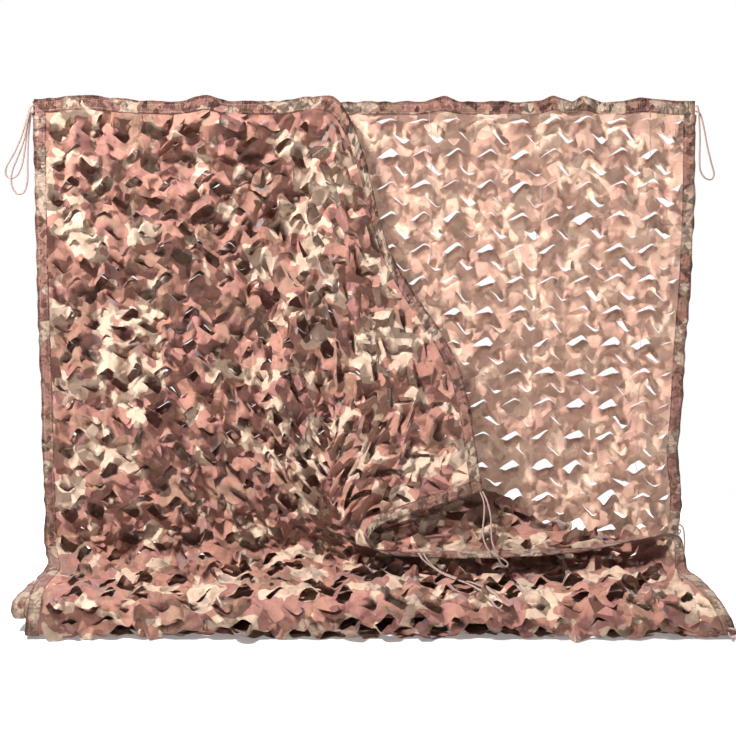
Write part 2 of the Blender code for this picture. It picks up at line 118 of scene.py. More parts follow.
# Tie cords: the points that each one passes, from one sewn end to the other.
TIE_ROUTES = {
    "tie_top_left_back": (
        (-0.7264, 0.0, -0.006), (-0.731, -0.001, -0.009), (-0.739, -0.005, -0.036),
        (-0.75, -0.009, -0.072), (-0.768, -0.013, -0.112), (-0.7835, -0.015, -0.138),
        (-0.785, -0.015, -0.156), (-0.774, -0.014, -0.164), (-0.76, -0.012, -0.155),
        (-0.75, -0.007, -0.13), (-0.744, -0.003, -0.095), (-0.74, 0.0005, -0.058),
        (-0.735, 0.0015, -0.033), (-0.7305, 0.001, -0.021), (-0.7263, 0.0002, -0.018)),
    "tie_top_left_front": (
        (-0.7158, -0.034, -0.005), (-0.7215, -0.0352, -0.009), (-0.7295, -0.039, -0.04),
        (-0.737, -0.042, -0.078), (-0.752, -0.045, -0.118), (-0.765, -0.046, -0.15),
        (-0.766, -0.046, -0.178), (-0.756, -0.045, -0.196), (-0.742, -0.044, -0.194),
        (-0.733, -0.042, -0.17), (-0.732, -0.039, -0.13), (-0.7305, -0.036, -0.09),
        (-0.7265, -0.0335, -0.05), (-0.7215, -0.033, -0.0225), (-0.7166, -0.0335, -0.018)),
    "tie_top_right": (
        (0.7266, 0.0, -0.005), (0.7312, -0.001, -0.0085), (0.734, -0.005, -0.035),
        (0.736, -0.0085, -0.075), (0.736, -0.011, -0.115), (0.738, -0.013, -0.146),
        (0.748, -0.014, -0.162), (0.762, -0.014, -0.166), (0.768, -0.014, -0.155),
        (0.761, -0.013, -0.128), (0.752, -0.01, -0.092), (0.745, -0.006, -0.055),
        (0.7385, -0.001, -0.028), (0.733, 0.001, -0.0195), (0.7266, 0.0, -0.018)),
    "tie_free_corner": (
        (0.2535, -0.135, -0.84), (0.2575, -0.1375, -0.848), (0.262, -0.142, -0.866),
        (0.2615, -0.147, -0.892), (0.2585, -0.153, -0.92), (0.2605, -0.16, -0.94),
        (0.27, -0.168, -0.96), (0.285, -0.1725, -0.972), (0.297, -0.1745, -0.977),
        (0.309, -0.1755, -0.985), (0.3125, -0.176, -0.9915), (0.307, -0.1768, -0.9955),
        (0.297, -0.178, -0.988), (0.2905, -0.179, -0.975), (0.285, -0.1775, -0.962),
        (0.2775, -0.17, -0.94), (0.2765, -0.161, -0.92), (0.2755, -0.152, -0.89),
        (0.2685, -0.1435, -0.86), (0.2625, -0.1375, -0.846), (0.2585, -0.1344, -0.8387)),
    "tie_pile_front": (
        (0.129, -0.1558, -0.9729), (0.1298, -0.162, -0.97), (0.135, -0.172, -0.978),
        (0.15, -0.179, -0.994), (0.172, -0.188, -1.0065), (0.197, -0.201, -1.013),
        (0.222, -0.222, -1.0155), (0.246, -0.246, -1.018), (0.27, -0.27, -1.025),
        (0.284, -0.286, -1.0335), (0.29, -0.295, -1.043), (0.286, -0.299, -1.051),
        (0.279, -0.299, -1.05), (0.27, -0.2925, -1.041), (0.255, -0.28, -1.0285),
        (0.238, -0.258, -1.02), (0.216, -0.236, -1.0145), (0.193, -0.215, -1.0115),
        (0.168, -0.199, -1.004), (0.146, -0.187, -0.992), (0.127, -0.176, -0.979),
        (0.12, -0.166, -0.97), (0.119, -0.1561, -0.9732)),
    "tie_right_edge": (
        (0.7158, 0.0012, -0.945), (0.7205, 0.0004, -0.9465), (0.7258, -0.002, -0.956),
        (0.7275, -0.006, -0.978), (0.7268, -0.01, -1.0), (0.7215, -0.0135, -1.016),
        (0.7135, -0.015, -1.02), (0.706, -0.015, -1.013), (0.7032, -0.014, -0.996),
        (0.706, -0.012, -0.978), (0.714, -0.0095, -0.965), (0.719, -0.0045, -0.9585),
        (0.7155, 0.0006, -0.9558)),
    "tie_pile_end": (
        (0.769, -0.2876, -1.098), (0.7698, -0.295, -1.097), (0.776, -0.3, -1.0965),
        (0.782, -0.301, -1.1), (0.784, -0.301, -1.107), (0.78, -0.3005, -1.113),
        (0.7735, -0.299, -1.115), (0.7698, -0.2925, -1.114), (0.769, -0.2822, -1.1085)),
}


class Edge(Enum):
    """The four bound edges of the cloth."""

    HUNG_HEM = "binding_top"
    FREE_HEM = "binding_front"
    LEFT_SELVAGE = "binding_left"
    RIGHT_SELVAGE = "binding_right"


def blend_weights(knots: np.ndarray, places: np.ndarray) -> np.ndarray:
    """Weights of a smooth curve through values at the knots.

    Args:
        knots: Rising places of the values.
        places: Where the curve is read.

    Returns:
        One row of weights for each place.
    """
    slopes = np.zeros((len(knots), len(knots)))
    for i in range(len(knots)):
        low, high = max(i - 1, 0), min(i + 1, len(knots) - 1)
        slopes[i, high] += 1.0 / (knots[high] - knots[low])
        slopes[i, low] -= 1.0 / (knots[high] - knots[low])
    at = np.clip(np.searchsorted(knots, places, side="right") - 1, 0, len(knots) - 2)
    step = knots[at + 1] - knots[at]
    t = ((places - knots[at]) / step)[:, None]
    eye = np.eye(len(knots))
    return ((2 * t**3 - 3 * t**2 + 1) * eye[at] + (3 * t**2 - 2 * t**3) * eye[at + 1]
            + (t**3 - 2 * t**2 + t) * step[:, None] * slopes[at]
            + (t**3 - t**2) * step[:, None] * slopes[at + 1])


def lengths_along(points: np.ndarray) -> np.ndarray:
    """How far each point lies along the line through all of them."""
    return np.concatenate(((0.0,), np.cumsum(np.linalg.norm(np.diff(points, axis=0), axis=1))))


def smooth_step(t: np.ndarray) -> np.ndarray:
    """An even ramp from 0 to 1 of values that are clipped to that range."""
    t = np.clip(t, 0.0, 1.0)
    return t * t * (3.0 - 2.0 * t)


def facet_field(across: np.ndarray, along: np.ndarray, spacing: float, seed: int) -> np.ndarray:
    """Flat facets between random heights on a triangle lattice, as creased cloth has.

    Args:
        across: Places on the flat cloth, from the left selvage.
        along: Places on the flat cloth, from the hung hem.
        spacing: Size of the facets.
        seed: Seed of the random heights.

    Returns:
        Heights from -1 to 1.
    """
    skewed = across + 0.5 * along
    column, row = np.floor(skewed / spacing).astype(int), np.floor(along / spacing).astype(int)
    x, y = skewed / spacing - column, along / spacing - row
    heights = np.random.default_rng(seed).uniform(-1.0, 1.0, (TABLE, TABLE))
    near, right, above, far = (heights[(column + a) % TABLE, (row + b) % TABLE]
                               for a, b in ((0, 0), (1, 0), (0, 1), (1, 1)))
    lower = near * (1 - x - y) + right * x + above * y
    upper = far * (x + y - 1) + right * (1 - y) + above * (1 - x)
    return np.where(x + y < 1.0, lower, upper)


def tilted_facets(across: np.ndarray, along: np.ndarray, size: float, seed: int) -> np.ndarray:
    """Uneven flat facets, each one tilted its own way, with short steps between them.

    Args:
        across: Places on the flat cloth, from the left selvage.
        along: Places on the flat cloth, from the hung hem.
        size: Size of the facets.
        seed: Seed of their places and tilts.

    Returns:
        Heights from about -1 to 1.
    """
    scatter, slope, step = 0.42, 1.4, 0.22      # off the lattice, of a facet, width of a step
    rng = np.random.default_rng(seed)
    shift = rng.uniform(-scatter, scatter, (TABLE, TABLE, 2))
    tilt = rng.uniform(-slope, slope, (TABLE, TABLE, 2))
    spot = np.stack((across, along), axis=-1) / size
    home = np.floor(spot).astype(int)
    nearest, second = np.full(len(spot), 9.0), np.full(len(spot), 9.0)
    height, other = np.zeros(len(spot)), np.zeros(len(spot))
    for a in (-1, 0, 1):
        for b in (-1, 0, 1):
            i, j = home[:, 0] + a, home[:, 1] + b
            apart = spot - np.stack((i, j), axis=-1) - 0.5 - shift[i % TABLE, j % TABLE]
            far = np.linalg.norm(apart, axis=1)
            here = (apart * tilt[i % TABLE, j % TABLE]).sum(axis=1)
            closer, middle = far < nearest, (far >= nearest) & (far < second)
            second = np.where(closer, nearest, np.where(middle, far, second))
            other = np.where(closer, height, np.where(middle, here, other))
            nearest, height = np.where(closer, far, nearest), np.where(closer, here, height)
    share = 0.5 + 0.5 * np.clip((second - nearest) / step, 0.0, 1.0)
    return height * share + other * (1.0 - share)


class Drape:
    """The hung shape of the whole cloth, from its flat places to places in space."""

    def __init__(self) -> None:
        """Read the tables into one net of lines and stations."""
        points, sway, lift = [], [], []
        levels = [(-drop, depth, left, right, play, 0.0)
                  for drop, depth, left, right, play in HANGING]
        levels += [(height - DROP, depth, left, right, 0.0, play)
                   for height, depth, left, right, play in PILE]
        for level, depth, left, right, in_depth, in_height in levels:
            points.append([(x, depth, level) for x in left + (right - left) * STATIONS])
            sway.append(in_depth)
            lift.append(in_height)
        for drop, gather, shoulder, drape, fold, selvage, play in FRONT:
            straight = [(FRONT_LEFT + FRONT_REACH * (1.0 - gather) * s, FRONT_DEPTH, -drop)
                        for s in STATIONS[:3]]
            points.append(straight + [shoulder, drape, fold, selvage])
            sway.append(play)
            lift.append(0.0)
        self.lines = np.array(points)
        self.sway, self.lift = np.array(sway), np.array(lift)
        steps = np.linalg.norm(np.diff(self.lines, axis=0), axis=2).mean(axis=1)
        self.runs = np.concatenate(((0.0,), np.cumsum(steps)))
        self.length = float(self.runs[-1])
        self.pile_start = float(self.runs[len(HANGING) - 1])
        self.front_start = float(self.runs[len(HANGING) + len(PILE) - 1])

    def place(self, across: np.ndarray, along: np.ndarray) -> np.ndarray:
        """Places in space of places on the flat cloth.

        Args:
            across: Distances from the left selvage.
            along: Distances from the hung hem.

        Returns:
            One row of X, Y and Z for each.
        """
        parts = [self._place_some(a, b) for a, b in
                 zip(np.array_split(across, len(across) // CHUNK + 1),
                     np.array_split(along, len(along) // CHUNK + 1))]
        return np.concatenate(parts)

    def _place_some(self, across: np.ndarray, along: np.ndarray) -> np.ndarray:
        """The same as place, for a share of the points that fits in memory.

        Args:
            across: Distances from the left selvage.
            along: Distances from the hung hem.

        Returns:
            One row of X, Y and Z for each.
        """
        rows = blend_weights(self.runs, along)
        columns = blend_weights(STATIONS, across / CLOTH_WIDTH)
        flat = (rows @ self.lines.reshape(len(self.lines), -1)).reshape(len(rows), -1, 3)
        places = (flat * columns[:, :, None]).sum(axis=1)
        wave = sum(share * np.sin(2 * np.pi * (a * across + b * along + phase))
                   for a, b, phase, share in WAVES)
        places[:, 1] += wave * np.clip(rows @ self.sway, 0.0, None)
        places[:, 2] += wave * np.clip(rows @ self.lift, 0.0, None)
        for middle, height, spread in HEM_RISES:
            reach = np.exp(-((places[:, 0] - middle) / spread) ** 2)
            fade = np.clip(1.0 + places[:, 2] / HEM_REACH, 0.0, 1.0) ** 2
            places[:, 2] += height * reach * fade
        places[:, 2] = np.maximum(places[:, 2], NET_THICKNESS / 2 - DROP)
        return places

    def facing(self, across: np.ndarray, along: np.ndarray) -> np.ndarray:
        """Unit normals of the hung cloth.

        Args:
            across: Distances from the left selvage.
            along: Distances from the hung hem.

        Returns:
            One normal for each place on the flat cloth.
        """
        reach = 0.002       # half of the step that the slopes are measured over
        slope_across = self.place(across + reach, along) - self.place(across - reach, along)
        slope_along = self.place(across, along + reach) - self.place(across, along - reach)
        normals = np.cross(slope_across, slope_along)
        return normals / np.maximum(np.linalg.norm(normals, axis=1, keepdims=True), 1e-9)


@dataclass
class LeafLayout:
    """Where the repeat of the leaf cuts lies on the cloth.

    On the hung panel and the pile the repeat follows the weave. The swag of the front layer is
    skewed on the weave, so there the repeat slides over the cloth until its cells are even again.
    """

    drape: Drape
    spacing: float = 0.05           # between the knots of the layout
    spare: float = 0.45             # how far the repeat reaches past the cloth's edges
    held: float = 0.25              # width along the left selvage where the repeat stays put
    loosened: tuple[float, float] = (0.15, 0.06)    # length of the change, across and along
    strength: float = 1.6           # how hard each round evens out the distances
    smoothing: float = 0.6
    rounds: int = 900
    samples: tuple[int, int] = (121, 101)   # of the stretch, across and along

    def __post_init__(self) -> None:
        """Settle the knots."""
        start = self.drape.front_start
        self.across = np.arange(0.0, CLOTH_WIDTH + self.spare, self.spacing)
        self.along = np.arange(start, self.drape.length + self.spare, self.spacing)
        self._measure()
        knots = np.stack(np.meshgrid(self.across, self.along, indexing="ij"), axis=-1)
        at_side, at_pile = self.loosened
        free = (np.clip((self.across - self.held) / at_side, 0, 1)[:, None]
                * np.clip((self.along - start) / at_pile, 0, 1)[None, :])[..., None]
        whole, ahead, behind = slice(None), slice(1, None), slice(0, -1)
        diagonal = self.spacing * math.sqrt(2.0)
        ties = ((behind, ahead, whole, whole, self.spacing),
                (whole, whole, behind, ahead, self.spacing),
                (behind, ahead, behind, ahead, diagonal), (behind, ahead, ahead, behind, diagonal))
        for _ in range(self.rounds):
            pull, count = np.zeros_like(knots), np.zeros(knots.shape[:2] + (1,))
            for from_i, to_i, from_j, to_j, rest in ties:
                first, second = knots[from_i, from_j], knots[to_i, to_j]
                apart = second - first
                size = self._size(apart, (first + second) / 2)
                move = ((size - rest) / size)[..., None] * apart / 2
                pull[from_i, from_j] += move
                pull[to_i, to_j] -= move
                count[from_i, from_j] += 1
                count[to_i, to_j] += 1
            even = np.zeros_like(knots)
            even[1:-1, 1:-1] = (knots[2:, 1:-1] + knots[:-2, 1:-1] + knots[1:-1, 2:]
                                + knots[1:-1, :-2]) / 4 - knots[1:-1, 1:-1]
            knots = knots + free * (self.strength * pull / count + self.smoothing * even)
        self.knots = knots

    def _measure(self) -> None:
        """Measure how the drape stretches and skews the front layer."""
        self.grid_across = np.linspace(0.0, CLOTH_WIDTH, self.samples[0])
        self.grid_along = np.linspace(self.drape.front_start - self.spacing, self.drape.length,
                                      self.samples[1])
        grid = np.meshgrid(self.grid_across, self.grid_along, indexing="ij")
        (across, along), reach, place = (g.ravel() for g in grid), 0.003, self.drape.place
        a = (place(across + reach, along) - place(across - reach, along)) / (2 * reach)
        b = (place(across, along + reach) - place(across, along - reach)) / (2 * reach)
        products = np.stack([(a * a).sum(1), (a * b).sum(1), (b * b).sum(1)], 1)
        self.stretch = products.reshape(*grid[0].shape, 3)

    def _size(self, apart: np.ndarray, middle: np.ndarray) -> np.ndarray:
        """Lengths in space of short steps on the cloth.

        Args:
            apart: The steps.
            middle: Their middles.

        Returns:
            Their lengths.
        """
        spots = []
        for axis, grid in enumerate((self.grid_across, self.grid_along)):
            spot = (middle[..., axis] - grid[0]) / (grid[1] - grid[0])
            spots.append(np.clip(spot, 0, len(grid) - 1.001))
        i, j = (spot.astype(int) for spot in spots)
        x, y = ((spot - spot.astype(int))[..., None] for spot in spots)
        s = self.stretch
        g = (s[i, j] * (1 - x) * (1 - y) + s[i + 1, j] * x * (1 - y)
             + s[i, j + 1] * (1 - x) * y + s[i + 1, j + 1] * x * y)
        square = (g[..., 0] * apart[..., 0] ** 2 + 2 * g[..., 1] * apart[..., 0] * apart[..., 1]
                  + g[..., 2] * apart[..., 1] ** 2)
        return np.sqrt(np.maximum(square, 1e-12))

    def to_cloth(self, across: np.ndarray, along: np.ndarray) -> tuple[np.ndarray, np.ndarray]:
        """Places on the cloth of places in the repeat.

        Args:
            across: Places in the repeat, across.
            along: The same, along.

        Returns:
            Places on the flat cloth, across and along.
        """
        out_across, out_along = across.copy(), along.copy()
        moved = np.flatnonzero(along > self.along[0])
        if not len(moved):
            return out_across, out_along
        for part in np.array_split(moved, len(moved) // CHUNK + 1):
            rows = blend_weights(self.along, along[part])
            columns = blend_weights(self.across, across[part])
            grid = self.knots.transpose(1, 0, 2)
            flat = (rows @ grid.reshape(len(grid), -1)).reshape(len(part), -1, 2)
            placed = (flat * columns[:, :, None]).sum(axis=1)
            out_across[part], out_along[part] = placed[:, 0], placed[:, 1]
        return out_across, out_along


def carry(mesh: bpy.types.Mesh, name: str, values: np.ndarray) -> None:
    """Make a mesh carry a number at each vertex."""
    mesh.attributes.new(name, "FLOAT", "POINT").data.foreach_set("value", values.astype(np.float32))


def build_mesh(name: str, points: np.ndarray, faces: np.ndarray, flat: np.ndarray,
               material: bpy.types.Material, run: np.ndarray | None = None,
               turn: np.ndarray | None = None, fold: float = 180.0) -> bpy.types.Object:
    """A smooth-shaded mesh object whose UV map holds flat places in metres.

    Args:
        name: Name of the piece.
        points: Vertex places.
        faces: Vertex numbers of quads.
        flat: Flat place of each vertex.
        material: The finish.
        run: Place of each vertex along and across a tape, for a second map.
        turn: How far the cloth at each vertex is turned to the floor, for an attribute by which the
            finish paints shade.
        fold: Angle in degrees past which an edge is shaded as a sharp fold.

    Returns:
        The new object, at the origin.
    """
    mesh = bpy.data.meshes.new(name)
    mesh.vertices.add(len(points))
    mesh.vertices.foreach_set("co", np.asarray(points, np.float32).ravel())
    size = faces.shape[1]
    mesh.loops.add(faces.size)
    mesh.loops.foreach_set("vertex_index", faces.astype(np.int32).ravel())
    mesh.polygons.add(len(faces))
    mesh.polygons.foreach_set("loop_start", np.arange(0, faces.size, size, dtype=np.int32))
    mesh.update(calc_edges=True)
    for label, places in (("flat_cloth", flat), ("tape_run", run)):
        if places is not None:
            layer = mesh.uv_layers.new(name=label)
            layer.data.foreach_set("uv", places[faces.ravel()].astype(np.float32).ravel())
    if turn is not None:
        carry(mesh, "leaf_turn", turn)
    mesh.polygons.foreach_set("use_smooth", np.ones(len(faces), bool))
    mesh.materials.append(material)
    mesh.validate()
    if fold < 180.0:
        mesh.set_sharp_from_angle(angle=math.radians(fold))
    piece = bpy.data.objects.new(name, mesh)
    bpy.context.scene.collection.objects.link(piece)
    return piece


def tube_faces(index: np.ndarray) -> np.ndarray:
    """Quads round a tube and over its two ends.

    Args:
        index: Vertex numbers, one row for each ring.

    Returns:
        The quads.
    """
    turned = np.roll(index, -1, axis=1)
    walls = np.stack((index[:-1], turned[:-1], turned[1:], index[1:]), axis=-1).reshape(-1, 4)
    caps = [(end[i], end[i + 1], end[-2 - i], end[-1 - i])
            for end in (index[0, ::-1], index[-1]) for i in range(index.shape[1] // 2 - 1)]
    return np.concatenate((walls, np.array(caps)))


# ---------------------------------------------------------------- finishes

Socket = bpy.types.NodeSocket
Tree = bpy.types.NodeTree
Shade = tuple[float, float, float]
WHITE: Shade = (1.0, 1.0, 1.0)
MIDDLE: Shade = (0.5, 0.5, 0.5)     # the mean of a random colour


class Graph:
    """A shader node tree, filled by calls in which a socket is linked and a value is set."""

    def __init__(self, tree: Tree) -> None:
        """Work on this tree."""
        self.tree = tree

    @classmethod
    def group(cls, name: str, inputs: dict[str, float], outputs: dict[str, str]) -> "Graph":
        """A new node group with a vector input, number inputs and named outputs.

        Args:
            name: Name of the group.
            inputs: Default of each number input.
            outputs: Kind of each output, such as Float.

        Returns:
            The group's graph, with its ends named Ends in and Ends out.
        """
        tree = bpy.data.node_groups.new(name, "ShaderNodeTree")
        tree.interface.new_socket("Vector", in_out="INPUT", socket_type="NodeSocketVector")
        for label, value in inputs.items():
            socket = tree.interface.new_socket(label, in_out="INPUT", socket_type="NodeSocketFloat")
            socket.default_value = value
        for label, kind in outputs.items():
            tree.interface.new_socket(label, in_out="OUTPUT", socket_type=f"NodeSocket{kind}")
        tree.nodes.new("NodeGroupInput").name = "Ends in"
        tree.nodes.new("NodeGroupOutput").name = "Ends out"
        return cls(tree)

    def given(self, label: str) -> Socket:
        """An input of the group."""
        return self.tree.nodes["Ends in"].outputs[label]

    def give(self, **results: Socket) -> Tree:
        """The group's tree, with its outputs linked."""
        self.feed(self.tree.nodes["Ends out"], **results)
        return self.tree

    def feed(self, node: bpy.types.Node, *sources: object, **settings: object) -> None:
        """Set up a node.

        Args:
            node: The node.
            sources: Its inputs from the first one on, where None leaves one as it is.
            settings: Its attributes, and inputs by their names, with _ for a space.
        """
        inputs = {i: source for i, source in enumerate(sources) if source is not None}
        for key, value in settings.items():
            if key[0].isupper():
                inputs[key.replace("_", " ")] = value
            else:
                setattr(node, key, value)
        for key, value in inputs.items():
            if isinstance(value, Socket):
                self.tree.links.new(value, node.inputs[key])
            else:
                node.inputs[key].default_value = value

    def node(self, kind: str, *sources: object, **settings: object) -> bpy.types.Node:
        """A new node.

        Args:
            kind: Its type, without the leading ShaderNode.
            sources: As in feed.
            settings: As in feed.

        Returns:
            The node.
        """
        node = self.tree.nodes.new(f"ShaderNode{kind}")
        self.feed(node, *sources, **settings)
        return node

    def math(self, operation: str, *sources: object) -> Socket:
        """The result of an operation on numbers."""
        return self.node("Math", *sources, operation=operation).outputs[0]

    def vector(self, operation: str, *sources: object) -> Socket:
        """The result of an operation on vectors."""
        return self.node("VectorMath", *sources, operation=operation).outputs[0]

    def spread(self, value: Socket, *limits: float) -> Socket:
        """A number brought from the first two limits to the last two, or to 0 and 1."""
        return self.node("MapRange", value, *limits).outputs[0]

    def mix(self, share: object, first: object, second: object, blend: str = "MIX") -> Socket:
        """A blend of two colours.

        Args:
            share: Share of the second colour.
            first: The first colour, or its socket.
            second: The second colour, or its socket.
            blend: How the second one goes over the first.

        Returns:
            The blend's socket.
        """
        pair = (c if isinstance(c, Socket) else (*c, 1.0) for c in (first, second))
        return self.node("Mix", share, *[None] * 5, *pair, data_type="RGBA",
                         blend_type=blend).outputs[2]

    def carried(self, name: str) -> Socket:
        """A number that the mesh carries at its vertices."""
        return self.node("Attribute", attribute_type="GEOMETRY", attribute_name=name).outputs["Fac"]

    def on_map(self, name: str) -> Socket:
        """Places on a map of the mesh."""
        return self.node("UVMap", uv_map=name).outputs[0]


def new_material(name: str) -> tuple[bpy.types.Material, Graph, bpy.types.Node]:
    """A new material.

    Args:
        name: Its name.

    Returns:
        The material, its graph and its shader.
    """
    material = bpy.data.materials.new(name)
    material.use_nodes = True
    return material, Graph(material.node_tree), material.node_tree.nodes["Principled BSDF"]


@dataclass(frozen=True)
class Print:
    """The printed pattern: one ground colour and three patch colours, in linear light."""

    ground: Shade = (0.420, 0.199, 0.145)
    rose: Shade = (0.385, 0.174, 0.143)
    olive: Shade = (0.358, 0.196, 0.133)
    sand: Shade = (0.625, 0.448, 0.330)
    rose_scale: float = 18.0
    olive_scale: float = 17.0
    sand_scale: float = 14.8
    rose_cover: float = 0.55
    olive_cover: float = 0.60
    sand_cover: float = 0.560
    blur: float = 0.006             # half width of a patch's edge, in the noise's own range
    warp_scale: float = 22.0
    warp: float = 0.072             # how far the patches are pulled out of shape, in metres

    def group(self) -> Tree:
        """The pattern as a node group from flat cloth places to a colour.

        Returns:
            The group, with the outputs Colour and Sand.
        """
        graph = Graph.group("patch_print", {}, {"Colour": "Color", "Sand": "Float"})
        place = graph.given("Vector")
        noise = graph.node("TexNoise", place, Scale=self.warp_scale, Detail=1.0)
        pull = graph.vector("SUBTRACT", noise.outputs["Color"], MIDDLE)
        moved = graph.vector("ADD", place, graph.vector("SCALE", pull, None, None, self.warp))
        colour = self.ground
        patches = ((self.rose, self.rose_scale, self.rose_cover, (3.1, 7.7, 0.4)),
                   (self.olive, self.olive_scale, self.olive_cover, (9.3, 1.9, 2.2)),
                   (self.sand, self.sand_scale, self.sand_cover, (5.7, 4.2, 7.9)))
        for shade, scale, cover, shift in patches:
            noise = graph.node("TexNoise", graph.vector("ADD", moved, shift), Scale=scale,
                               Detail=0.6, Roughness=0.45)
            mask = graph.spread(noise.outputs["Fac"], cover - self.blur, cover + self.blur)
            colour = graph.mix(mask, colour, shade)
        return graph.give(Colour=colour, Sand=mask)


@dataclass(frozen=True)
class Weave:
    """A plain weave of a light coated cloth, as a height and a slight fading of the colour."""

    threads: float = 1400.0         # threads to a metre
    fading: float = 38.0            # scale of the faded clouds
    clouds: tuple[float, ...] = (0.3, 0.7, 0.88, 1.08)  # the noise's range, then the tone's

    def group(self) -> Tree:
        """The weave as a node group from flat cloth places to Height and Tone.

        Returns:
            The group.
        """
        graph = Graph.group("cloth_weave", {}, {"Height": "Float", "Tone": "Float"})
        place = graph.given("Vector")
        threads = [graph.node("TexWave", place, Scale=self.threads / 20.0, Distortion=0.4,
                              Detail=1.0, Detail_Scale=8.0, wave_type="BANDS",
                              bands_direction=direction).outputs["Fac"] for direction in ("X", "Y")]
        cloudy = graph.node("TexNoise", place, Scale=self.fading, Detail=3.0, Roughness=0.6)
        return graph.give(Height=graph.math("MULTIPLY", *threads),
                          Tone=graph.spread(cloudy.outputs["Fac"], *self.clouds))


@dataclass(frozen=True)
class Crumple:
    """Small creased facets, with the print broken where cloth is folded away between them, and each
    facet painted lighter or darker as painted shade.
    """

    fine: float = 2.3               # how many times more facets the second, lower size has
    fine_share: float = 0.40
    lightest: float = 1.10          # painted tone of the lightest facet: painted light and shade of the creases

    def group(self) -> Tree:
        """The creases as a node group from places to Place, Height and Tone.

        Returns:
            The group. Facets is their number to a metre, Jump and Height are in metres, and Shade
            is how much darker the darkest facet is painted, as painted shade of the creases.
        """
        graph = Graph.group("crumple", {"Facets": 38.0, "Jump": 0.012, "Relief": 0.8, "Shade": 0.3},
                            {"Place": "Vector", "Height": "Float", "Tone": "Float"})
        place = graph.given("Vector")
        heights, colours, tilts = [], [], []
        for times, share in ((1.0, 1.0), (self.fine, self.fine_share)):
            number = graph.math("MULTIPLY", graph.given("Facets"), times)
            facets = graph.node("TexVoronoi", place, Scale=number, feature="F1").outputs
            apart = graph.vector("SUBTRACT", place, facets["Position"])
            colours.append(facets["Color"])
            tilts.append(graph.vector("SUBTRACT", facets["Color"], MIDDLE))
            height = graph.node("VectorMath", apart, tilts[-1], operation="DOT_PRODUCT")
            heights.append(graph.math("MULTIPLY", height.outputs["Value"], share))
        relief = graph.math("MULTIPLY", graph.math("ADD", *heights), graph.given("Relief"))
        jump = graph.vector("SCALE", tilts[0], None, None, graph.given("Jump"))
        # painted shade: each facet is painted darker by a random share of Shade
        shade = graph.math("MULTIPLY", graph.node("SeparateXYZ", colours[0]).outputs["Z"],
                           graph.given("Shade"))
        return graph.give(Place=graph.vector("ADD", place, jump), Height=relief,
                          Tone=graph.math("SUBTRACT", self.lightest, shade))


@dataclass(frozen=True)
class Stitches:
    """A sewn tape's two rows of lockstitch, gathers and painted shade along its edges, on its
    tape_run map.
    """

    rows: tuple[float, float] = (0.0050, 0.0205)
    length: float = 0.0038
    dash: float = 0.74              # share of a stitch that shows
    half_width: float = 0.0005
    height: float = 0.0006
    dent: float = 0.0007            # how deep a row is drawn in
    dent_half_width: float = 0.0018
    gathers: float = 130.0          # gathers to a metre
    gather_length: float = 0.22     # how much longer than wide they are, as a share
    gather_height: float = 0.0065
    edge_shade: float = 0.66            # painted shade: how much darker the tape's edges are painted
    edge_shade_range: tuple[float, float] = (0.0125, 0.0165)    # from the tape's middle
    wander: float = 0.006           # how unevenly the painted shade along the edges runs

    def group(self) -> Tree:
        """The sewing as a node group from tape places to Mask, Height and Tone.

        Returns:
            The group.
        """
        graph = Graph.group("stitch_rows", {},
                            {"Mask": "Float", "Height": "Float", "Tone": "Float"})
        place = graph.given("Vector")
        parts = graph.node("SeparateXYZ", place).outputs
        near, round_it = (
            graph.math("ADD", *(graph.math("COMPARE", parts["Y"], row, half) for row in self.rows))
            for half in (self.half_width, self.dent_half_width))
        part = graph.math("FRACT", graph.math("DIVIDE", parts["X"], self.length))
        mask = graph.math("MULTIPLY", near, graph.math("LESS_THAN", part, self.dash))
        dent = graph.math("MULTIPLY", round_it, -self.dent)
        sewn = graph.math("MULTIPLY_ADD", mask, self.height, dent)
        long = graph.vector("MULTIPLY", place, (1.0, self.gather_length, 1.0))
        gather = graph.node("TexNoise", long, Scale=self.gathers, Detail=2.0, Roughness=0.6)
        gather = gather.outputs["Fac"]
        apart = graph.math("ABSOLUTE", graph.math("SUBTRACT", parts["Y"], TAPE_WIDTH / 2))
        rough = graph.math("MULTIPLY_ADD", gather, self.wander, apart)
        height = graph.math("MULTIPLY_ADD", gather, self.gather_height, sewn)
        # painted shade: the tone falls towards both edges of the tape
        return graph.give(Mask=mask, Height=height,
                          Tone=graph.spread(rough, *self.edge_shade_range, 1.0, 1.0 - self.edge_shade))


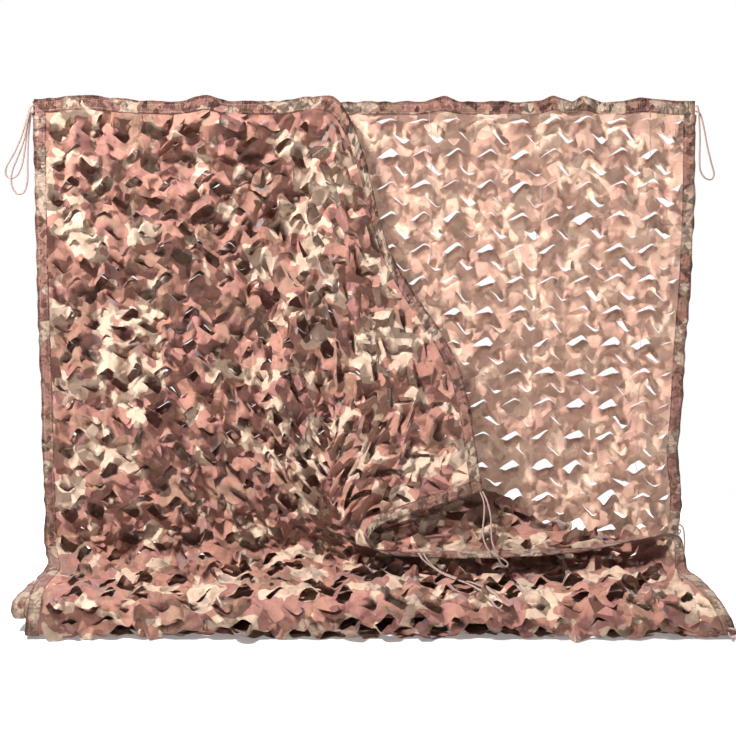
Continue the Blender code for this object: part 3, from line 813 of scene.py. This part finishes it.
@dataclass(frozen=True)
class ClothFinish:
    """Printed cloth with painted shade on its creased facets, that may let some light through and
    may carry two rows of stitches.
    """

    name: str
    on_map: bool = True             # the creases and the print lie on the map, else in space
    sheer: float = 0.0              # share of the light that comes through from behind
    sheer_colour: Shade = (0.80, 0.56, 0.43)
    painted_backlight: float = 0.0               # painted backlight: how far the print is painted towards the sheer colour where the panel is one layer
    # scale of the colour; above 1, as on the sheer finish, it is painted backlight
    darken: float = 1.0
    facets: float = 40.0
    jump: float = 0.012
    relief: float = 0.8
    # painted shade of the creased facets: how much darker the darkest one is
    shade: float = 0.3
    roughness: float = 0.8
    sand_even: float = 0.6          # how far the tones, painted facet shade among them, are evened out on sand patches
    turned: float = 0.0             # painted shade: how much darker the leaves that face the floor are painted
    turned_range: tuple[float, float] = (-0.4, 0.9)     # turns that get the first and the last painted tone
    facing_up: float = 1.05         # painted highlight: tone of the leaves that face upwards
    thread_relief: float = 0.00012
    stitched: bool = False
    thread: Shade = (0.46, 0.27, 0.21)
    shadow: Shade = (0.20, 0.05, 0.01)      # what a dark tone tends to

    def material(self, pattern: Tree, weave: Tree, crumple: Tree,
                 stitches: Tree) -> bpy.types.Material:
        """The finish as a material on the flat_cloth map.

        Args:
            pattern: The printed pattern's group.
            weave: The weave's group.
            crumple: The creases' group.
            stitches: The stitch rows' group.

        Returns:
            The material.
        """
        material, graph, shader = new_material(self.name)
        place = graph.on_map("flat_cloth")
        spot = place if self.on_map else graph.node("TexCoord").outputs["Object"]
        creased = graph.node("Group", spot, node_tree=crumple, Facets=self.facets, Jump=self.jump,
                             Relief=self.relief, Shade=self.shade).outputs
        printed = graph.node("Group", creased["Place"], node_tree=pattern).outputs
        woven = graph.node("Group", place, node_tree=weave).outputs
        # the weave's faded clouds times the creases' painted shade
        tone = graph.math("MULTIPLY", woven["Tone"], creased["Tone"])
        even = graph.math("MULTIPLY", printed["Sand"], self.sand_even)
        tone = graph.node("Mix", even, None, tone, 1.0, data_type="FLOAT").outputs[0]
        # painted shade and highlight: leaves turned to the floor painted darker, those turned up
        # lighter
        if self.turned:
            tone = graph.math("MULTIPLY", tone, graph.spread(
                graph.carried("leaf_turn"), *self.turned_range, self.facing_up, 1.0 - self.turned))
        raised = graph.math("MULTIPLY_ADD", woven["Height"], self.thread_relief, creased["Height"])
        colour = printed["Colour"]
        # painted backlight: the print is painted paler towards the sheer colour where the panel is
        # one layer
        if self.painted_backlight:
            share = graph.math("MULTIPLY", graph.carried("single_layer"), self.painted_backlight)
            colour = graph.mix(share, colour, self.sheer_colour)
        if self.stitched:
            sewn = graph.node("Group", graph.on_map("tape_run"), node_tree=stitches).outputs
            # painted shade along the tape's edges
            tone = graph.math("MULTIPLY", tone, sewn["Tone"])
            raised = graph.math("ADD", raised, sewn["Height"])
        scaled = graph.vector("SCALE", graph.mix(tone, self.shadow, WHITE), None, None, self.darken)
        colour = graph.mix(1.0, colour, scaled, "MULTIPLY")
        if self.stitched:
            colour = graph.mix(sewn["Mask"], colour, self.thread)
        bump = graph.node("Bump", Strength=1.0, Distance=1.0, Height=raised).outputs[0]
        graph.feed(shader, Base_Color=colour, Roughness=self.roughness, Sheen_Weight=0.15,
                   Sheen_Roughness=0.5, Specular_IOR_Level=0.25, Normal=bump)
        if self.sheer:
            through = graph.node("BsdfTranslucent", (*self.sheer_colour, 1.0), Normal=bump)
            both = graph.node("MixShader", self.sheer, shader.outputs[0], through.outputs[0])
            graph.feed(graph.tree.nodes["Material Output"], Surface=both.outputs[0])
        return material


@dataclass(frozen=True)
class CordFinish:
    """Braided cord, with its braid on a map of length and turn, and painted shade in the braid's
    grooves.
    """

    name: str = "braided_cord"
    colour: Shade = (0.42, 0.292, 0.255)
    # painted shade in the grooves between the strands
    groove_shade: Shade = (0.26, 0.175, 0.150)
    roughness: float = 0.75
    slant: float = 40.0             # of the strands, in degrees
    strands: float = 140.0
    depth: float = 0.0005

    def material(self) -> bpy.types.Material:
        """The finish as a material.

        Returns:
            The material.
        """
        material, graph, shader = new_material(self.name)
        place = graph.on_map("flat_cloth")
        turned = [graph.node("Mapping", place, Rotation=(0.0, 0.0, side * math.radians(self.slant)))
                  for side in (1.0, -1.0)]
        braid = graph.math("MAXIMUM", *(
            graph.node("TexWave", t.outputs[0], Scale=self.strands, Distortion=0.0,
                       wave_type="BANDS").outputs["Fac"] for t in turned))
        bump = graph.node("Bump", Strength=0.6, Distance=self.depth, Height=braid).outputs[0]
        # painted shade: the grooves take the darker colour
        graph.feed(shader, Base_Color=graph.mix(braid, self.groove_shade, self.colour),
                   Roughness=self.roughness, Normal=bump)
        return material


# ---------------------------------------------------------------- the cut cloth

@dataclass(frozen=True)
class LeafStyle:
    """How far the leaves of one part of the cloth curl and how much its ground crumples."""

    curl: float             # mean angle of a leaf, radians
    spread: float           # random share of that angle
    turned: float           # share of the leaves that curl to the far side
    twist: float            # difference of the angle between a leaf's two corners
    crease: float           # height of the creased facets
    slide: float            # how far the facets slide within the cloth
    open: float             # parting of the two lips of a cut
    ridge: float            # relief of the zigzag: its crests stand out, its troughs lie back


@dataclass
class CutCloth:
    """The leaf-cut cloth in three pieces that join line to line."""

    drape: Drape
    layout: LeafLayout
    dense: bpy.types.Material
    sheer: bpy.types.Material
    thread: bpy.types.Material
    pitch: float = 0.075            # from cut to cut across
    row_gap: float = 0.035          # from row to row along
    columns: int = 18               # mesh columns to a pitch
    rows: int = 8                   # mesh rows to a row gap
    zigzag: float = 0.027           # height of the zigzag that all rows follow
    crest: int = 9                  # mesh column of the crest within the pitch
    trough: int = 16                # the same of the trough
    cuts: tuple[tuple[int, int], tuple[int, int]] = ((0, 13), (9, 20))  # first and last column
    shortest: int = 6               # columns of the shortest cut
    hinge: float = 0.013            # length over which a leaf bends at its root
    taper: float = 0.30             # share of a cut over which a leaf's bend begins and ends
    counter: float = 0.50           # how far the cut's other lip bends to the other side
    uneven: tuple[float, float] = (0.6, 0.4)    # of that: mean, play
    lip: tuple[float, float] = (0.5, 0.8)       # play of a cut's opening, how lopsided it is
    hem_fade: float = 0.035         # length over which the zigzag sets in below the hung hem
    trimmed: float = 0.006          # the front layer's mesh ends this far inside the cloth's edges
    spare: tuple[float, float] = (0.25, 0.40)   # how far the repeat reaches past the cloth's edges
    closed: int = 13                # lines of the pile whose leaves are folded in and closed
    fold: float = 38.0              # angle in degrees of the sharpest crease that is shaded smooth
    seed: int = 7
    hung: LeafStyle = LeafStyle(0.56, 0.66, 0.12, 0.70, 0.0135, 0.005, 0.0003, 0.0060)
    front: LeafStyle = LeafStyle(0.70, 0.85, 0.25, 1.00, 0.0185, 0.010, 0.0006, 0.0030)
    pile: LeafStyle = LeafStyle(0.62, 0.80, 0.25, 0.90, 0.0140, 0.009, 0.0004, 0.0030)
    covered: float = 0.22           # share of the curl that is left behind the front layer
    depths: tuple[float, float] = (-0.3195, 0.0335)     # the cloth stays between these
    fade: float = 0.15              # how far behind the front layer the sheer finish fades out
    overlap: float = 0.03           # how far behind the front layer's edge it is still whole
    tucked: float = 0.002           # how far the cloth reaches into the tapes
    changes: tuple[float, ...] = (0.12, 0.16, 0.10, 0.14)   # before and over the pile and the front
    calm_reach: tuple[float, float] = (0.022, 0.030)    # at the bound edges, at the closed layers
    foot: float = 0.02              # length below the hung panel where leaves are still free
    large: tuple[float, float, int] = (0.60, 0.068, 11)     # share of the crease, size and seed
    small: tuple[float, float, int] = (0.50, 0.034, 12)
    slides: tuple[tuple[float, int], ...] = ((0.060, 13), (0.055, 14))     # size and seed
    thread_gap: float = 0.25        # between the lines of reinforcing thread
    thread_radius: float = 0.00055
    thread_sides: int = 6
    thread_sunk: float = 0.0012     # from the cloth's middle to the thread's
    thread_step: float = 0.0087     # from ring to ring on its map

    def _profile(self) -> np.ndarray:
        """Height of the zigzag over one pitch.

        Returns:
            One value for each mesh column.
        """
        knots = np.array((self.trough - self.columns, self.crest, self.trough))
        heights = np.array((-0.5, 0.5, -0.5)) * self.zigzag
        places = np.arange(self.columns)
        line = np.interp(places, np.append(knots, self.crest + self.columns),
                         np.append(heights, 0.5 * self.zigzag))
        return 0.5 * line + 0.25 * (np.roll(line, 1) + np.roll(line, -1))

    def _style_at(self, along: np.ndarray, what: str) -> np.ndarray:
        """One number of the style, blended between the three parts of the cloth.

        Args:
            along: Places along the cloth.
            what: Name of the number.

        Returns:
            Its value at each place.
        """
        before_pile, over_pile, before_front, over_front = self.changes
        to_pile = smooth_step((along - self.drape.pile_start + before_pile) / over_pile)
        to_front = smooth_step((along - self.drape.front_start + before_front) / over_front)
        hung, pile, front = (getattr(s, what) for s in (self.hung, self.pile, self.front))
        return hung + (pile - hung) * to_pile + (front - pile) * to_front

    def _calm(self, across: np.ndarray, along: np.ndarray) -> np.ndarray:
        """How freely the cloth creases and its leaves bend.

        Args:
            across: Distances from the left selvage.
            along: Distances from the hung hem.

        Returns:
            0 at the bound edges and in the folded-in layers, up to 1 where leaves are free.
        """
        edge = np.minimum(np.minimum(across, CLOTH_WIDTH - across),
                          np.minimum(along, self.drape.length - along)) - TAPE_WIDTH
        at_edge, at_fold = self.calm_reach
        last = self.drape.runs[len(HANGING) + self.closed]
        hidden = (smooth_step((along - self.drape.pile_start - self.foot) / at_fold)
                  * smooth_step((last - along) / at_fold))
        return smooth_step(edge / at_edge) * (1.0 - hidden)

    def build(self) -> list[bpy.types.Object]:
        """Make the cloth and its threads.

        Returns:
            The threads and the three pieces of cloth.
        """
        step_across, step_along = self.pitch / self.columns, self.row_gap / self.rows
        start = TAPE_WIDTH - self.tucked
        width = CLOTH_WIDTH - 2 * TAPE_WIDTH + 2 * self.tucked
        self.inner = int(round(width / step_across))
        step_across = width / self.inner
        spare_columns = int(self.spare[0] / step_across)
        whole = int(round((self.drape.length - 2 * start) / step_along))
        step_along = (self.drape.length - 2 * start) / whole
        spare_rows = int(self.spare[1] / step_along)
        columns = np.arange(self.inner + spare_columns + 1)
        rows = np.arange(whole + spare_rows + 1)
        zig = self._profile()[columns % self.columns]
        across = np.repeat((start + columns * step_across)[None, :], len(rows), axis=0)
        line = (start + rows * step_along)[:, None]
        along = line - zig[None, :] * smooth_step((line - start) / self.hem_fade)
        self.ridge_shape = -2.0 * zig / self.zigzag
        shape = across.shape
        bend_up, bend_down, lips = np.zeros(shape), np.zeros(shape), np.zeros(shape)
        slit = np.zeros(shape, bool)
        (mean, play), (lip_play, lean) = self.uneven, self.lip
        rng = np.random.default_rng(self.seed)
        for m, j in enumerate(range(self.rows // 2, shape[0] - 2, self.rows)):
            rising = m % 2 == 0
            first, last = self.cuts[m % 2]
            style = {w: float(self._style_at(line[j], w)[0])
                     for w in ("curl", "spread", "turned", "twist", "open")}
            for k in range(-1, shape[1] // self.columns + 1):
                draws = rng.uniform(-1.0, 1.0, 5)
                low = max(k * self.columns + first, 2)
                high = min(k * self.columns + last, shape[1] - 3)
                if high - low < self.shortest:
                    continue
                span = np.arange(low, high + 1)
                x = (span - low) / (high - low)
                window = smooth_step(np.minimum(x / self.taper, (1 - x) / self.taper))
                sign = -1.0 if draws[0] * 0.5 + 0.5 > style["turned"] else 1.0
                angle = style["curl"] * (1.0 + style["spread"] * draws[1])
                if line[j, 0] < self.drape.pile_start:
                    spot = start + (low + high) / 2 * step_across - CLOTH_WIDTH / 2
                    if spot < self._front_edge(line[j, 0]):
                        angle *= self.covered
                bend = sign * window * (angle + style["twist"] * draws[2] * (x - 0.5) * 2)
                back = -self.counter * sign * window * angle * (mean + play * draws[3])
                (bend_down if rising else bend_up)[j, span] = bend
                (bend_up if rising else bend_down)[j, span] = back
                part = style["open"] * (1.0 + lip_play * draws[4])
                lips[j, span] = part * np.sin(np.pi * x ** lean)
                slit[j, low + 1:high] = True
        return self._shape(across, along, bend_up, bend_down, lips, slit)

    def _leaf(self, angle: np.ndarray, reach: float) -> tuple[np.ndarray, np.ndarray]:
        """How far a leaf's points leave the cloth, bent at the root and straight beyond it.

        Args:
            angle: Angle of the leaf.
            reach: Distance from its root.

        Returns:
            The distance along the normal, and how far the point is drawn back to the root.
        """
        angle = np.where(np.abs(angle) > 1e-4, angle, 1e-4)
        curve = angle / self.hinge
        bent, straight = min(reach, self.hinge), max(reach - self.hinge, 0.0)
        lift = (1 - np.cos(curve * bent)) / curve + straight * np.sin(angle)
        return lift, reach - np.sin(curve * bent) / curve - straight * np.cos(angle)

    def _shape(self, across: np.ndarray, along: np.ndarray, bend_up: np.ndarray,
               bend_down: np.ndarray, lips: np.ndarray,
               slit: np.ndarray) -> list[bpy.types.Object]:
        """Bend the leaves out of the cloth and make the meshes.

        A cut's lips part over the last third of its leaves, and the outer part of a leaf carries
        how far it faces the floor, from which the finish paints shade and highlight.

        Args:
            across: Places of the grid in the repeat.
            along: The same, along the cloth.
            bend_up: Angle of the leaf above each cut.
            bend_down: Angle of the leaf below each cut.
            lips: Parting of the cuts.
            slit: Grid points that the cuts part.

        Returns:
            All pieces.
        """
        shape = across.shape
        half = self.rows // 2
        moves = {}
        for side in ("above", "below"):     # the lip that a parted grid point belongs to
            lift, slide, turn = np.zeros(shape), np.zeros(shape), np.zeros(shape)
            for j in range(shape[0]):
                m, step = divmod(j - half, self.rows)
                if step == 0 and side == "above":
                    m, step = m - 1, self.rows
                share = step / self.rows
                upper = half + m * self.rows
                for row, table, reach, way in ((upper, bend_down, 1 - share, 1.0),
                                               (upper + self.rows, bend_up, share, -1.0)):
                    if 0 <= row < shape[0]:
                        out, back = self._leaf(table[row], reach * self.row_gap)
                        lift[j] += out
                        slide[j] += way * (back + lips[row] * max(3.0 * reach - 2.0, 0.0))
                        turn[j] -= way * table[row] * min(max(2.0 * reach - 0.6, 0.0), 1.0)
            moves[side] = (lift, slide, turn)
        count = across.size
        top = np.arange(count).reshape(shape)
        low = top.copy()
        low[slit] = count + np.arange(slit.sum())
        flat = np.stack([np.concatenate((g.ravel(), g[slit])) for g in (across, along)], axis=1)
        lift, slide, turn = (np.concatenate((moves["above"][i].ravel(), moves["below"][i][slit]))
                             for i in range(3))
        on_cloth = np.stack(self.layout.to_cloth(flat[:, 0], flat[:, 1]), axis=1)
        calm = self._calm(on_cloth[:, 0], on_cloth[:, 1])
        crease, drift, ridge = (self._style_at(flat[:, 1], w) for w in ("crease", "slide", "ridge"))
        column = np.concatenate((np.tile(np.arange(shape[1]), shape[0]), np.argwhere(slit)[:, 1]))
        large, small = (share * kind(*flat.T, size, seed) for kind, (share, size, seed) in
                        ((facet_field, self.large), (tilted_facets, self.small)))
        lift = calm * (lift + ridge * self.ridge_shape[column] + crease * (large + small))
        down, aside = (facet_field(*flat.T, size, seed) for size, seed in self.slides)
        slide = calm * (slide + drift * down)
        sideways = calm * drift * aside
        inside = ((on_cloth[:, 0] > self.trimmed) & (on_cloth[:, 0] < CLOTH_WIDTH - self.trimmed)
                  & (on_cloth[:, 1] < self.drape.length - self.trimmed))
        bounds = [half * 2 + self.rows * int((run - TAPE_WIDTH) / self.row_gap)
                  for run in (self.drape.pile_start, self.drape.front_start)]
        bounds = [0, *bounds, shape[0] - 1]
        names = ("net_hung", "net_pile", "net_front")
        pieces = []
        for name, first, last in zip(names, bounds[:-1], bounds[1:]):
            width = shape[1] - 1 if name == "net_front" else self.inner
            quads = np.stack((top[first + 1:last + 1, :width], top[first + 1:last + 1, 1:width + 1],
                              low[first:last, 1:width + 1], low[first:last, :width]), -1)
            quads = quads.reshape(-1, 4)
            if name == "net_front":
                quads = quads[inside[quads].all(axis=1)]
            used, faces = np.unique(quads, return_inverse=True)
            faces = faces.reshape(-1, 4)
            spot = self.layout.to_cloth(flat[used, 0] + sideways[used], flat[used, 1] + slide[used])
            places = self.drape.place(*spot)
            places += self.drape.facing(*np.stack(on_cloth[used], axis=1)) * lift[used, None]
            places[:, 1] = np.clip(places[:, 1], *self.depths)
            places[:, 2] = np.maximum(places[:, 2], FLOOR_GAP - DROP)
            piece = build_mesh(name, places, faces, flat[used], self.dense,
                               turn=(calm * turn)[used], fold=self.fold)
            if name == "net_hung":
                self._thin_where_single(piece, places, faces)
                threads = self._threads(top[:last, :], used, places)
                pieces.append(threads)
            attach(piece, "root")
            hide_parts("net")
            pieces.append(piece)
        return pieces

    def _thin_where_single(self, piece: bpy.types.Object, places: np.ndarray,
                           faces: np.ndarray) -> None:
        """Give the sheer finish, which is translucent and carries painted backlight, to the part of
        the hung panel that no second layer covers.

        Args:
            piece: The hung panel.
            places: Its vertices.
            faces: Its faces.
        """
        piece.data.materials.append(self.sheer)
        # single_layer tells the sheer finish where to paint its backlight
        single = smooth_step(1.0 + (places[:, 0] - self._front_edge(-places[:, 2])) / self.fade)
        carry(piece.data, "single_layer", single)
        thin = single[faces].max(axis=1) > 0.0
        piece.data.polygons.foreach_set("material_index", thin.astype(np.int32))

    def _front_edge(self, drop: np.ndarray | float) -> np.ndarray | float:
        """How far to the right the front layer covers the hung panel, at a drop."""
        hem = np.array(FRONT[-1][3:6])
        return np.interp(drop, -hem[:, 2], hem[:, 0]) - self.overlap

    def _threads(self, grid: np.ndarray, used: np.ndarray, places: np.ndarray) -> bpy.types.Object:
        """Reinforcing threads sewn down the hung panel.

        Args:
            grid: Point numbers of the panel.
            used: The numbers that its mesh uses.
            places: Their places.

        Returns:
            All threads as one piece.
        """
        spot = {number: i for i, number in enumerate(used)}
        points, faces, flat = [], [], []
        radius, sides = self.thread_radius, self.thread_sides
        step = int(self.thread_gap / self.pitch * self.columns)
        for column in range(step // 2, self.inner - 5, step):
            line = np.array([places[spot[n]] for n in grid[::2, column] if n in spot])
            smooth = line.copy()
            smooth[1:-1] = (line[:-2] + 2 * line[1:-1] + line[2:]) / 4
            smooth[:, 1] -= self.thread_sunk
            turns = np.linspace(0, 2 * np.pi, sides, endpoint=False)
            ring = np.stack((np.cos(turns), np.sin(turns), 0 * turns), 1) * radius
            base = len(points)
            points.extend((smooth[:, None] + ring[None]).reshape(-1, 3))
            index = base + np.arange(len(line) * sides).reshape(-1, sides)
            faces.append(tube_faces(index[::-1]))
            flat.append(np.stack((np.repeat(np.arange(len(line)) * self.thread_step, sides),
                                  np.tile(turns * radius, len(line))), 1))
        piece = build_mesh("reinforcing_threads", np.array(points), np.concatenate(faces),
                           np.concatenate(flat), self.thread)
        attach(piece, "root")
        return piece


# ---------------------------------------------------------------- the bindings

@dataclass
class Binding:
    """A folded tape sewn round one edge of the cloth."""

    drape: Drape
    edge: Edge
    material: bpy.types.Material
    thickness: float = 0.0026
    step: float = 0.006
    ragged: tuple[float, float] = (0.0032, 0.0024)      # the outer edge stands out: mean, play
    ragged_size: float = 0.017
    seed: int = 33
    puckers: tuple[tuple[float, float, int], ...] = ((0.0016, 0.030, 31), (0.0010, 0.013, 32))

    def build(self) -> bpy.types.Object:
        """Make the tape as a closed, slightly puffed band.

        Returns:
            The tape.
        """
        length = self.drape.length
        is_hem = self.edge in (Edge.HUNG_HEM, Edge.FREE_HEM)
        total = CLOTH_WIDTH if is_hem else length - 2 * TAPE_WIDTH
        offset = 0.0 if is_hem else TAPE_WIDTH
        marks = offset + np.linspace(0.0, total, int(total / self.step) + 1)
        # one turn round the tape's section: share of the width, and half thickness with its sign
        shares = np.array((0.0, 0.03, 0.10, 0.22, 0.40, 0.60, 0.80, 0.93, 0.99, 1.0))
        puff = np.array((0.25, 0.85, 0.62, 1.0, 1.25, 1.25, 1.0, 0.62, 0.85, 0.3))
        ring_share = np.concatenate((shares, shares[::-1]))
        ring_half = np.concatenate((puff, -puff[::-1])) * self.thickness / 2
        inward = ring_share * TAPE_WIDTH
        steps, turns = np.meshgrid(marks, np.arange(len(ring_share)), indexing="ij")
        mean, play = self.ragged
        seed = self.seed + len(self.edge.value)
        rough = mean + play * facet_field(marks, marks * 0.0, self.ragged_size, seed)
        depth = inward[turns] - rough[:, None] * (1.0 - ring_share[turns]) ** 3
        if self.edge is Edge.HUNG_HEM:
            across, along = steps, depth
        elif self.edge is Edge.FREE_HEM:
            across, along = steps, length - depth
        elif self.edge is Edge.LEFT_SELVAGE:
            across, along = depth, steps
        else:
            across, along = CLOTH_WIDTH - depth, steps
        across, along = across.ravel(), along.ravel()
        normal = self.drape.facing(across, along)
        pucker = sum(height * facet_field(across, along, size, seed)
                     for height, size, seed in self.puckers)
        lift = ring_half[turns].ravel() + pucker
        points = self.drape.place(across, along) + normal * lift[:, None]
        ring = len(ring_share)
        sunk = TAPE_FLOOR_GAP - DROP - points[:, 2].reshape(-1, ring).min(axis=1)
        points[:, 2] += np.repeat(np.maximum(sunk, 0.0), ring)
        index = np.arange(len(marks) * ring).reshape(len(marks), ring)
        faces = tube_faces(index)
        if self.edge in (Edge.HUNG_HEM, Edge.RIGHT_SELVAGE):
            faces = faces[:, ::-1]
        flat = np.stack((across, along), axis=1)
        run = np.stack((steps.ravel(), depth.ravel()), axis=1)
        piece = build_mesh(f"tape_{self.edge.value}", points, faces, flat, self.material, run=run)
        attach(piece, "root")
        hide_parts(self.edge.value)
        return piece


# ---------------------------------------------------------------- the ties

@dataclass
class TieCord:
    """One braided cord loop, sewn down at both ends."""

    name: str
    route: tuple[Place, ...]
    material: bpy.types.Material
    sides: int = 10
    step: float = 0.0024
    samples: int = 400

    def build(self) -> bpy.types.Object:
        """Make the cord as a closed tube along its route.

        Returns:
            The cord.
        """
        route = np.array(self.route)
        lengths = lengths_along(route)
        coarse = blend_weights(lengths, np.linspace(0, lengths[-1], self.samples)) @ route
        reach = lengths_along(coarse)
        total = float(reach[-1])
        marks = np.linspace(0.0, total, int(total / self.step) + 1)
        path = np.stack([np.interp(marks, reach, coarse[:, i]) for i in range(3)], axis=1)
        tangents = np.gradient(path, axis=0)
        tangents /= np.linalg.norm(tangents, axis=1, keepdims=True)
        radius = TIE_DIAMETER / 2
        side = np.cross(tangents[0], (0.0, 1.0, 0.2))   # any start but along the cord
        points, flat = [], []
        for i, (place, tangent) in enumerate(zip(path, tangents)):
            side = side - tangent * np.dot(side, tangent)
            side /= np.linalg.norm(side)
            up = np.cross(tangent, side)
            turns = np.linspace(0.0, 2 * np.pi, self.sides + 1)
            ring = place + radius * (np.cos(turns)[:, None] * side + np.sin(turns)[:, None] * up)
            points.append(ring[:-1])
            flat.append(np.stack((np.full(self.sides, marks[i]), turns[:-1] * radius), axis=1))
        points, flat = np.concatenate(points), np.concatenate(flat)
        index = np.arange(len(points)).reshape(-1, self.sides)
        piece = build_mesh(f"cord_{self.name}", points, tube_faces(index), flat, self.material)
        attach(piece, "root")
        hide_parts(self.name)
        return piece


# ---------------------------------------------------------------- the studio

@dataclass
class Studio:
    """Camera, lights, floor and backdrop."""

    camera_place: Place = (0.009, -3.5, -0.10)
    camera_pitch: float = -7.9
    lens: float = 77.14
    floor_level: float = -1.1265
    reach: float = 6.0              # half width of the floor

    def build(self) -> None:
        """Make the whole studio."""
        self._camera()
        self._backdrop()
        self._lights()

    def _camera(self) -> None:
        """The photograph's view."""
        data = bpy.data.cameras.new("camera")
        data.lens = self.lens
        data.sensor_width = 36.0
        camera = bpy.data.objects.new("camera", data)
        camera.location = self.camera_place
        camera.rotation_euler = (math.radians(90.0 + self.camera_pitch), 0.0, 0.0)
        bpy.context.scene.collection.objects.link(camera)
        bpy.context.scene.camera = camera

    def _backdrop(self) -> None:
        """A white floor that rises in a rounded corner to a white wall."""
        low, high = 1.0, 1.6                # depths where the corner begins and ends
        bend = high - low
        rise = [(low + bend * math.sin(a), bend - bend * math.cos(a))
                for a in np.linspace(0.15, math.pi / 2, 10)]
        for name, profile, shade, glow in (
                ("floor", [(-self.reach, 0.0), (low, 0.0), rise[0]], 0.64, 0.22),
                ("wall", [*rise, (high, 4.0)], 0.93, 0.34)):
            count = len(profile)
            points = np.array([(x, y, z + self.floor_level)
                               for x in (-self.reach, self.reach) for y, z in profile])
            faces = np.array([(i, i + count, i + count + 1, i + 1) for i in range(count - 1)])
            material, graph, shader = new_material(f"white_{name}")
            graph.feed(shader, Base_Color=(shade, shade, shade, 1.0), Emission_Color=(*WHITE, 1.0),
                       Emission_Strength=glow, Roughness=0.9, Specular_IOR_Level=0.0)
            if name == "wall":
                self._even_to_the_camera(graph, shader)
            build_mesh(name, points, faces, points[:, :2], material)

    def _even_to_the_camera(self, graph: Graph, shader: bpy.types.Node) -> None:
        """Show the wall as plain white, which outshines no thin cord, and clear from behind.

        Args:
            graph: The wall's graph.
            shader: Its shader for all other light.
        """
        for kind, share, other in (("LightPath", "Is Camera Ray", "Emission"),
                                   ("NewGeometry", "Backfacing", "BsdfTransparent")):
            shader = graph.node("MixShader", graph.node(kind).outputs[share], shader.outputs[0],
                                graph.node(other).outputs[0])
        graph.feed(graph.tree.nodes["Material Output"], Surface=shader.outputs[0])

    def _area(self, name: str, place: Place, aim: Place, size: tuple[float, float],
              power: float) -> None:
        """One soft rectangular light.

        Args:
            name: Its name.
            place: Where it stands.
            aim: What it looks at.
            size: Its width and height.
            power: Its power in watts.
        """
        data = bpy.data.lights.new(name, "AREA")
        data.shape = "RECTANGLE"
        data.size, data.size_y = size
        data.energy = power
        light = bpy.data.objects.new(name, data)
        light.location = place
        light.rotation_euler = (Vector(aim) - Vector(place)).to_track_quat("-Z", "Y").to_euler()
        bpy.context.scene.collection.objects.link(light)

    def _lights(self) -> None:
        """Soft top-left key, weak fill, and light on the wall behind."""
        world = bpy.data.worlds.new("studio")
        bpy.context.scene.world = world
        world.use_nodes = True
        graph = Graph(world.node_tree)
        seen = graph.spread(graph.node("LightPath").outputs["Is Camera Ray"], 0.0, 1.0, 0.06, 0.85)
        graph.feed(graph.tree.nodes["Background"], Color=(*WHITE, 1.0), Strength=seen)
        self._area("key", (-1.5, -1.6, 2.1), (0.0, 0.0, -0.5), (0.4, 0.4), 240.0)
        self._area("fill", (-1.0, -3.2, 0.4), (0.0, 0.0, -0.5), (2.0, 2.0), 8.0)
        self._area("wall", (0.0, 0.45, 1.9), (0.0, 1.6, -0.6), (3.0, 0.5), 90.0)
        bpy.context.scene.view_settings.view_transform = "Standard"


def main() -> None:
    """Build the dressed model and the studio."""
    logging.basicConfig(level=logging.INFO, format="%(message)s")
    drape = Drape()
    Studio().build()
    cord_finish = CordFinish().material()
    pieces = [TieCord(name, route, cord_finish).build() for name, route in TIE_ROUTES.items()]
    effects = (Print().group(), Weave().group(), Crumple().group(), Stitches().group())
    dense = ClothFinish("printed_cloth", on_map=False, facets=27.0, jump=0.010, relief=1.9,
                        shade=0.40, turned=0.40).material(*effects)
    # the sheer finish is translucent, and its colour is painted lighter as painted backlight
    sheer = ClothFinish("printed_cloth_sheer", on_map=False, sheer=0.10, painted_backlight=0.39, darken=1.16,
                        facets=33.0, jump=0.007, relief=1.3, shade=0.36,
                        turned=0.96).material(*effects)
    tape = ClothFinish("printed_tape", darken=0.70, facets=85.0, jump=0.004, relief=2.1, shade=0.42,
                       stitched=True).material(*effects)
    # sewing thread, also with painted shade in its grooves
    thread = CordFinish("sewing_thread", colour=(0.60, 0.42, 0.33),
                        groove_shade=(0.46, 0.31, 0.24)).material()
    pieces += [Binding(drape, edge, tape).build() for edge in Edge]
    pieces += CutCloth(drape, LeafLayout(drape), dense, sheer, thread).build()
    for piece in pieces:
        LOG.info("%s: %d faces", piece.name, len(piece.data.polygons))


if __name__ == "__main__":
    main()
